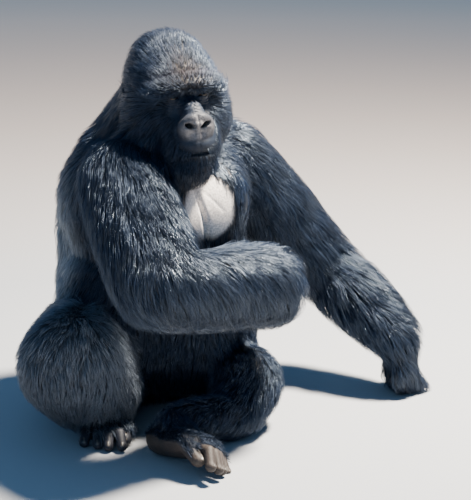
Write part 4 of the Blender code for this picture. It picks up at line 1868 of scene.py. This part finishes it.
class Shader:
    """A material's nodes, made and joined in short calls."""

    def __init__(self, name: str) -> None:
        """Starts a material that holds a Principled shader.

        Args:
            name: The material's name.
        """
        self.material = bpy.data.materials.new(name)
        self.material.use_nodes = True
        self.tree = self.material.node_tree
        self.principled = self.tree.nodes["Principled BSDF"]

    def feed(self, socket: Socket, value: object) -> None:
        """Sets an input.

        Args:
            socket: The input.
            value: A value for it, or an output to link to it.
        """
        if isinstance(value, Socket):
            self.tree.links.new(value, socket)
        else:
            socket.default_value = value

    def set(self, **values: object) -> None:
        """Sets the Principled shader's inputs.

        Args:
            values: Input names, with _ for a space, and their values or the outputs to link to them.
        """
        for name, value in values.items():
            self.feed(self.principled.inputs[name.replace("_", " ")], value)

    def node(self, kind: str, inputs: dict | None = None, **settings: object) -> bpy.types.Node:
        """Adds a node.

        Args:
            kind: The node's type, without ShaderNode in front.
            inputs: Values or outputs for its inputs, by name or number.
            settings: Properties of the node.

        Returns:
            The node.
        """
        node = self.tree.nodes.new(f"ShaderNode{kind}")
        for name, value in settings.items():
            setattr(node, name, value)
        for key, value in (inputs or {}).items():
            self.feed(node.inputs[key], value)
        return node

    def scaled(self, colour: Socket, gain: Socket) -> Socket:
        """Multiplies a colour by a number."""
        return self.node("VectorMath", {0: colour, "Scale": gain}, operation="SCALE").outputs[0]

    def ranged(self, value: Socket, start: tuple = (0.0, 1.0), end: tuple = (0.0, 1.0)) -> Socket:
        """Maps a number from one range to another, whose ends may be outputs."""
        labels = ("From Min", "From Max", "To Min", "To Max")
        return self.node("MapRange", {"Value": value, **dict(zip(labels, (*start, *end)))}).outputs[0]

    def ramp(self, value: Socket, *stops: tuple) -> Socket:
        """Colours a number.

        Args:
            value: The number.
            stops: Places on the ramp with their colours.

        Returns:
            The colour's socket.
        """
        node = self.node("ValToRGB", {0: value})
        elements = node.color_ramp.elements
        while len(elements) < len(stops):
            elements.new(0.5)
        for element, (position, colour) in zip(elements, stops):
            element.position, element.color = position, (*colour, 1.0)
        return node.outputs[0]


class Group(Shader):
    """A node group with named inputs and outputs."""

    def __init__(self, name: str, inputs: dict, outputs: dict) -> None:
        """Starts a group.

        Args:
            name: The group's name.
            inputs: Socket types and default values by name.
            outputs: Socket types by name.
        """
        self.tree = bpy.data.node_groups.new(name, "ShaderNodeTree")
        for label, (kind, value) in inputs.items():
            socket = self.tree.interface.new_socket(label, in_out="INPUT", socket_type=kind)
            socket.default_value = value
        for label, kind in outputs.items():
            self.tree.interface.new_socket(label, in_out="OUTPUT", socket_type=kind)
        self.given = self.tree.nodes.new("NodeGroupInput").outputs
        self.result = self.tree.nodes.new("NodeGroupOutput").inputs

    def mix(
        self, factor: Socket, first: Socket, second: Socket
    ) -> Socket:
        """Mixes two colours, with this share of the second."""
        return self.node("Mix", {0: factor, 6: first, 7: second}, data_type="RGBA").outputs[2]

    def maths(self, operation: str, *values: Socket | float) -> Socket:
        """Works out a number from sockets or numbers."""
        return self.node("Math", dict(enumerate(values)), operation=operation).outputs[0]


def markings_group() -> Tree:
    """The markings that skin and coat share: silver saddle, silver painted on the right leg as light, rusty
    brow, pale breast and a pale painted highlight on the nose.

    Returns:
        The group.
    """
    defaults = ((0.02, 0.02, 0.02, 1), (0.3, 0.3, 0.3, 1), (0.1, 0.04, 0.02, 1), (0.05, 0.05, 0.05, 1),
                (0.4, 0.36, 0.33, 1))  # fmt: skip
    inputs = {label: (COLOUR, value) for label, value in zip(TONES, defaults)}
    group = Group("markings", inputs, {"Colour": COLOUR, "Rusty": NUMBER})
    marks = group.node("Attribute", attribute_name="marks")
    silver, rusty, bare = group.node("SeparateColor", {0: marks.outputs["Color"]}).outputs[:3]
    colour = group.mix(silver, group.given["Base"], group.given["Silver"])
    colour = group.mix(bare, colour, group.given["Naked"])
    colour = group.mix(rusty, colour, group.given["Rust"])
    colour = group.mix(marks.outputs["Alpha"], colour, group.given["Pale"])
    group.feed(group.result["Colour"], colour)
    group.feed(group.result["Rusty"], rusty)
    return group.tree


def strand_group() -> Tree:
    """Painted shade at the roots, lighter tips and tufts that differ a little.

    Returns:
        The group.
    """
    inputs = {"Colour": (COLOUR, (0.02, 0.02, 0.02, 1)), "Tip": (COLOUR, (0.1, 0.1, 0.1, 1))}
    inputs["Spread"] = (NUMBER, 0.5)
    group = Group("strand", inputs, {"Colour": COLOUR, "Roughness": NUMBER})
    strand = group.node("Attribute", attribute_name="strand")
    tone, along, own = group.node("SeparateColor", {0: strand.outputs["Color"]}).outputs[:3]
    share = group.maths("MULTIPLY", group.maths("POWER", tone, 4.0), along)
    share = group.maths("MULTIPLY", share, group.given["Spread"])
    tipped = group.mix(share, group.given["Colour"], group.given["Tip"])
    # painted shade: each tuft darkens toward its root, deep in the coat
    depth = group.maths("MULTIPLY_ADD", along, 0.8, 0.2)
    vary = group.maths("MULTIPLY_ADD", own, 0.9, 0.55)
    group.feed(group.result["Colour"], group.scaled(tipped, group.maths("MULTIPLY", depth, vary)))
    rough = group.maths("MULTIPLY_ADD", own, 0.34, 0.18)
    group.feed(group.result["Roughness"], group.maths("MULTIPLY_ADD", strand.outputs["Alpha"], 0.14, rough))
    return group.tree


def relief_group() -> Tree:
    """Creases, pores and grain of bare skin.

    Returns:
        The group.
    """
    inputs = {"Crease Scale": (NUMBER, 150.0), "Pore Scale": (NUMBER, 900.0)}
    group = Group("skin_relief", inputs, {"Height": NUMBER, "Mottle": NUMBER})
    place = group.node("TexCoord").outputs["Object"]
    warp = group.node("TexNoise", {"Scale": 40.0, "Vector": place})
    bent = {0: warp.outputs["Color"], 1: (0.012, 0.012, 0.012), 2: place}
    bent = group.node("VectorMath", bent, operation="MULTIPLY_ADD").outputs[0]
    creases = {"Vector": bent, "Scale": group.given["Crease Scale"]}
    creases = group.node("TexVoronoi", creases, feature="DISTANCE_TO_EDGE")
    line = group.maths("MINIMUM", creases.outputs["Distance"], 0.12)
    pores = group.node("TexNoise", {"Detail": 4.0, "Vector": place, "Scale": group.given["Pore Scale"]})
    height = group.maths("MULTIPLY_ADD", line, 5.0, pores.outputs["Fac"])
    mottle = group.node("TexNoise", {"Scale": 260.0, "Detail": 6.0, "Vector": place})
    group.feed(group.result["Height"], height)
    group.feed(group.result["Mottle"], mottle.outputs["Fac"])
    return group.tree


@dataclass(frozen=True)
class Markings:
    """Colours that the shared markings have on one kind of surface."""

    base: tuple
    silver: tuple
    rust: tuple
    naked: tuple
    pale: tuple

    def place(self, shader: Shader, group: Tree) -> bpy.types.Node:
        """Puts the shared markings, in these colours, into a material.

        Args:
            shader: The material.
            group: The markings.

        Returns:
            The group's node.
        """
        colours = {label: (*getattr(self, label.lower()), 1.0) for label in TONES}
        return shader.node("Group", colours, node_tree=group)


@dataclass(frozen=True)
class CoatFinish(Markings):
    """Colours and gloss of the hair."""

    # The blue in the hair's colours and gloss tint is painted sky light in the shade; the hair itself is near
    # black.
    base: tuple = (0.0034, 0.0105, 0.035)
    silver: tuple = (0.33, 0.37, 0.42)
    rust: tuple = (0.026, 0.01, 0.005)
    naked: tuple = (0.006, 0.0125, 0.028)
    pale: tuple = (0.05, 0.05, 0.052)
    tip: tuple = (0.06, 0.072, 0.092)
    tipped: float = 0.5
    rusty_roughness: float = 0.85
    gloss: float = 0.95
    painted_sky_tint: tuple = (0.61, 0.78, 1.0)

    def material(self, markings: Tree, strand: Tree) -> Material:
        """Makes the hair material.

        Args:
            markings: The shared markings.
            strand: The strand's tones.

        Returns:
            The material.
        """
        shader = Shader("coat")
        marks = self.place(shader, markings)
        tone = {"Tip": (*self.tip, 1.0), "Spread": self.tipped, "Colour": marks.outputs["Colour"]}
        tone = shader.node("Group", tone, node_tree=strand)
        shader.set(Base_Color=tone.outputs["Colour"])
        rough = shader.ranged(marks.outputs["Rusty"], end=(tone.outputs["Roughness"], self.rusty_roughness))
        shader.set(Roughness=rough, Specular_IOR_Level=self.gloss, Specular_Tint=(*self.painted_sky_tint, 1.0))
        return shader.material


@dataclass(frozen=True)
class SkinFinish(Markings):
    """Colours, relief and gloss of the skin."""

    # The blue cast of the dark skin colours is painted sky light in the shade.
    base: tuple = (0.004, 0.0075, 0.015)
    silver: tuple = (0.05, 0.054, 0.06)
    rust: tuple = (0.04, 0.031, 0.026)
    naked: tuple = (0.011, 0.017, 0.03)
    pale: tuple = (0.78, 0.725, 0.69)
    mottle: tuple = (0.34, 0.66)  # the range of the grain that is used
    brightness: tuple = (0.72, 1.26)
    roughness: tuple = (0.42, 0.62)
    wet_roughness: float = 0.2
    relief: tuple = (0.35, 0.0012)  # strength and height
    gloss: float = 0.24

    def material(self, markings: Tree, relief: Tree) -> Material:
        """Makes the skin material.

        Args:
            markings: The shared markings.
            relief: The skin's creases and pores.

        Returns:
            The material.
        """
        shader = Shader("skin")
        marks = self.place(shader, markings)
        grain = shader.node("Group", node_tree=relief)
        bright = shader.ranged(grain.outputs["Mottle"], self.mottle, self.brightness)
        shader.set(Base_Color=shader.scaled(marks.outputs["Colour"], bright))
        rough = shader.ranged(grain.outputs["Mottle"], end=self.roughness)
        shine = shader.node("Attribute", attribute_name="shine")
        shader.set(Roughness=shader.ranged(shine.outputs["Fac"], end=(rough, self.wet_roughness)))
        strength, distance = self.relief
        bump = {"Strength": strength, "Distance": distance, "Height": grain.outputs["Height"]}
        shader.set(Normal=shader.node("Bump", bump).outputs[0], Specular_IOR_Level=self.gloss)
        return shader.material


@dataclass(frozen=True)
class NailFinish:
    """Horn that is paler and browner in streaks."""

    dark: tuple = (0.04, 0.034, 0.03)
    light: tuple = (0.12, 0.105, 0.092)
    streaks: float = 420.0

    def material(self) -> Material:
        """Makes the nails' material.

        Returns:
            The material.
        """
        shader = Shader("nail")
        place = shader.node("TexCoord").outputs["Object"]
        noise = shader.node("TexNoise", {"Scale": self.streaks, "Vector": place})
        shader.set(Base_Color=shader.ramp(noise.outputs["Fac"], (0.0, self.dark), (1.0, self.light)))
        shader.set(Roughness=0.32, Specular_IOR_Level=0.55)
        return shader.material


@dataclass(frozen=True)
class EyeFinish:
    """A brown iris, a dark pupil and a dark, wet white: colours by how far forward they lie."""

    stops: tuple = (
        (0.0, (0.03, 0.022, 0.018)),
        (0.62, (0.022, 0.014, 0.011)),
        (0.7, (0.006, 0.003, 0.002)),
        (0.76, (0.026, 0.011, 0.005)),
        (0.9, (0.018, 0.008, 0.004)),
        (0.925, (0.002, 0.002, 0.002)),
    )

    def material(self) -> Material:
        """Makes the eyes' material.

        Returns:
            The material.
        """
        shader = Shader("eye")
        gaze = shader.node("Attribute", attribute_name="gaze").outputs["Vector"]
        forward = shader.node("SeparateXYZ", {0: gaze}).outputs[2]
        shader.set(Base_Color=shader.ramp(forward, *self.stops), Roughness=0.1, Specular_IOR_Level=0.35)
        return shader.material


# ---- stage


@dataclass(frozen=True)
class Lamp:
    """A round soft light: where it stands, what it faces, how wide and strong it is, and its colour."""

    name: str
    place: tuple
    aim: tuple
    size: float
    power: float
    colour: tuple

    def build(self) -> None:
        """Hangs the light."""
        light = bpy.data.lights.new(self.name, "AREA")
        light.shape, light.size, light.energy, light.color = "DISK", self.size, self.power, self.colour
        obj = bpy.data.objects.new(self.name, light)
        obj.location = self.place
        obj.rotation_euler = (Vector(self.place) - Vector(self.aim)).to_track_quat("Z", "Y").to_euler()
        bpy.context.scene.collection.objects.link(obj)


@dataclass
class Studio:
    """Floor, lights and camera."""

    floor_size: float = 40.0
    floor_drop: float = 0.0005
    floor_fade: tuple = (1.2, 8.0)  # where the floor's tone starts and ends to change
    floor_near: tuple = (0.33, 0.345, 0.37)
    floor_far: tuple = (0.98, 0.76, 0.6)
    sky: tuple = (0.24, 0.54, 1.0)
    sky_strength: float = 0.46
    lamps: tuple = (
        Lamp("key", (1.35, -0.72, 3.4), (0.0, -0.1, 0.45), 0.6, 1260.0, (1.0, 0.9, 0.76)),
        Lamp("fill", (-2.6, -2.8, 1.8), (0.0, 0.0, 0.4), 2.4, 24.0, (0.4, 0.68, 1.0)),
    )
    elevation: float = 14.0
    distance: float = 4.6
    aim_right: float = 0.21
    aim_height: float = 0.385
    lens: float = 132.5
    sensor: float = 36.0

    def build(self) -> None:
        """Makes all three."""
        self._floor()
        self._sky()
        for lamp in self.lamps:
            lamp.build()
        self._camera()

    def _floor(self) -> None:
        """Lays a plain floor that gets paler with distance."""
        bpy.ops.mesh.primitive_plane_add(size=self.floor_size, location=(0.0, 0.0, -self.floor_drop))
        floor = bpy.context.active_object
        floor.name = "floor"
        shader = Shader("floor")
        place = shader.node("TexCoord").outputs["Object"]
        out = shader.node("VectorMath", {0: place}, operation="LENGTH")
        share = shader.ranged(out.outputs["Value"], self.floor_fade)
        colour = shader.ramp(share, (0.0, self.floor_near), (1.0, self.floor_far))
        shader.set(Roughness=0.9, Base_Color=colour)
        floor.data.materials.append(shader.material)
        floor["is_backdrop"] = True

    def _sky(self) -> None:
        """Fills the shade with plain light."""
        world = bpy.data.worlds.new("studio")
        world.use_nodes = True
        background = world.node_tree.nodes["Background"]
        background.inputs[0].default_value = (*self.sky, 1.0)
        background.inputs[1].default_value = self.sky_strength
        bpy.context.scene.world = world

    def _camera(self) -> None:
        """Stands the camera up."""
        data = bpy.data.cameras.new("camera")
        data.lens, data.sensor_width = self.lens, self.sensor
        azimuth, elevation = radians(VIEW_AZIMUTH), radians(self.elevation)
        right = Vector((cos(azimuth), sin(azimuth), 0.0))
        toward = Vector((sin(azimuth), -cos(azimuth), 0.0)) * cos(elevation) + Vector((0, 0, sin(elevation)))
        target = right * self.aim_right + Vector((0.0, 0.0, self.aim_height))
        obj = bpy.data.objects.new("camera", data)
        obj.location = target + toward * self.distance
        obj.rotation_euler = toward.to_track_quat("Z", "Y").to_euler()
        bpy.context.scene.collection.objects.link(obj)
        bpy.context.scene.camera = obj


# ---- assembly


def dress(obj: Object, material: Material, slot: Slot) -> None:
    """Gives a piece its finish and hangs it on the body.

    Args:
        obj: The piece.
        material: Its material.
        slot: The record's slot that the finish belongs to; not used.
    """
    obj.data.materials.clear()
    obj.data.materials.append(material)
    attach(obj, "root")
    LOG.info("%s: %d faces", obj.name, len(obj.data.polygons))


def main() -> None:
    """Builds the gorilla in order: skin, eyes, nails, coat, then the studio."""
    logging.basicConfig(level=logging.INFO, format="%(relativeCreated)d ms %(message)s")
    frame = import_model()
    anatomy = Anatomy(frame["nodes"])
    skin = Skin(anatomy)
    skin.build()
    markings = markings_group()
    dress(skin.obj, SkinFinish().material(markings, relief_group()), Slot.BARE_SKIN)
    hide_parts(*FLESH)
    hide = Hide(skin)
    store(skin.obj.data, "marks", hide.marks)
    store(skin.obj.data, "shine", np.repeat(hide.shine[:, None], 4, axis=1))
    glass = EyeFinish().material()
    for side in SIDES:
        eye = Eye(side, anatomy.head).build()
        dress(eye, glass, Slot.EYE)
        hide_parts(f"eye_{side}")
    horn = NailFinish().material()
    for name, rows in skin.nails.items():
        dress(Nails(name, anatomy.frames[name], rows).build(), horn, Slot.BARE_SKIN)
    coat = Coat(hide, skin.reach)
    hair = CoatFinish().material(markings, strand_group())
    for number, piece in enumerate(PIECES):
        saddle = piece.name == "coat_back"
        dress(coat.build(piece, number), hair, Slot.SADDLE if saddle else Slot.COAT)
    Studio().build()
    LOG.info("built")


if __name__ == "__main__":
    main()
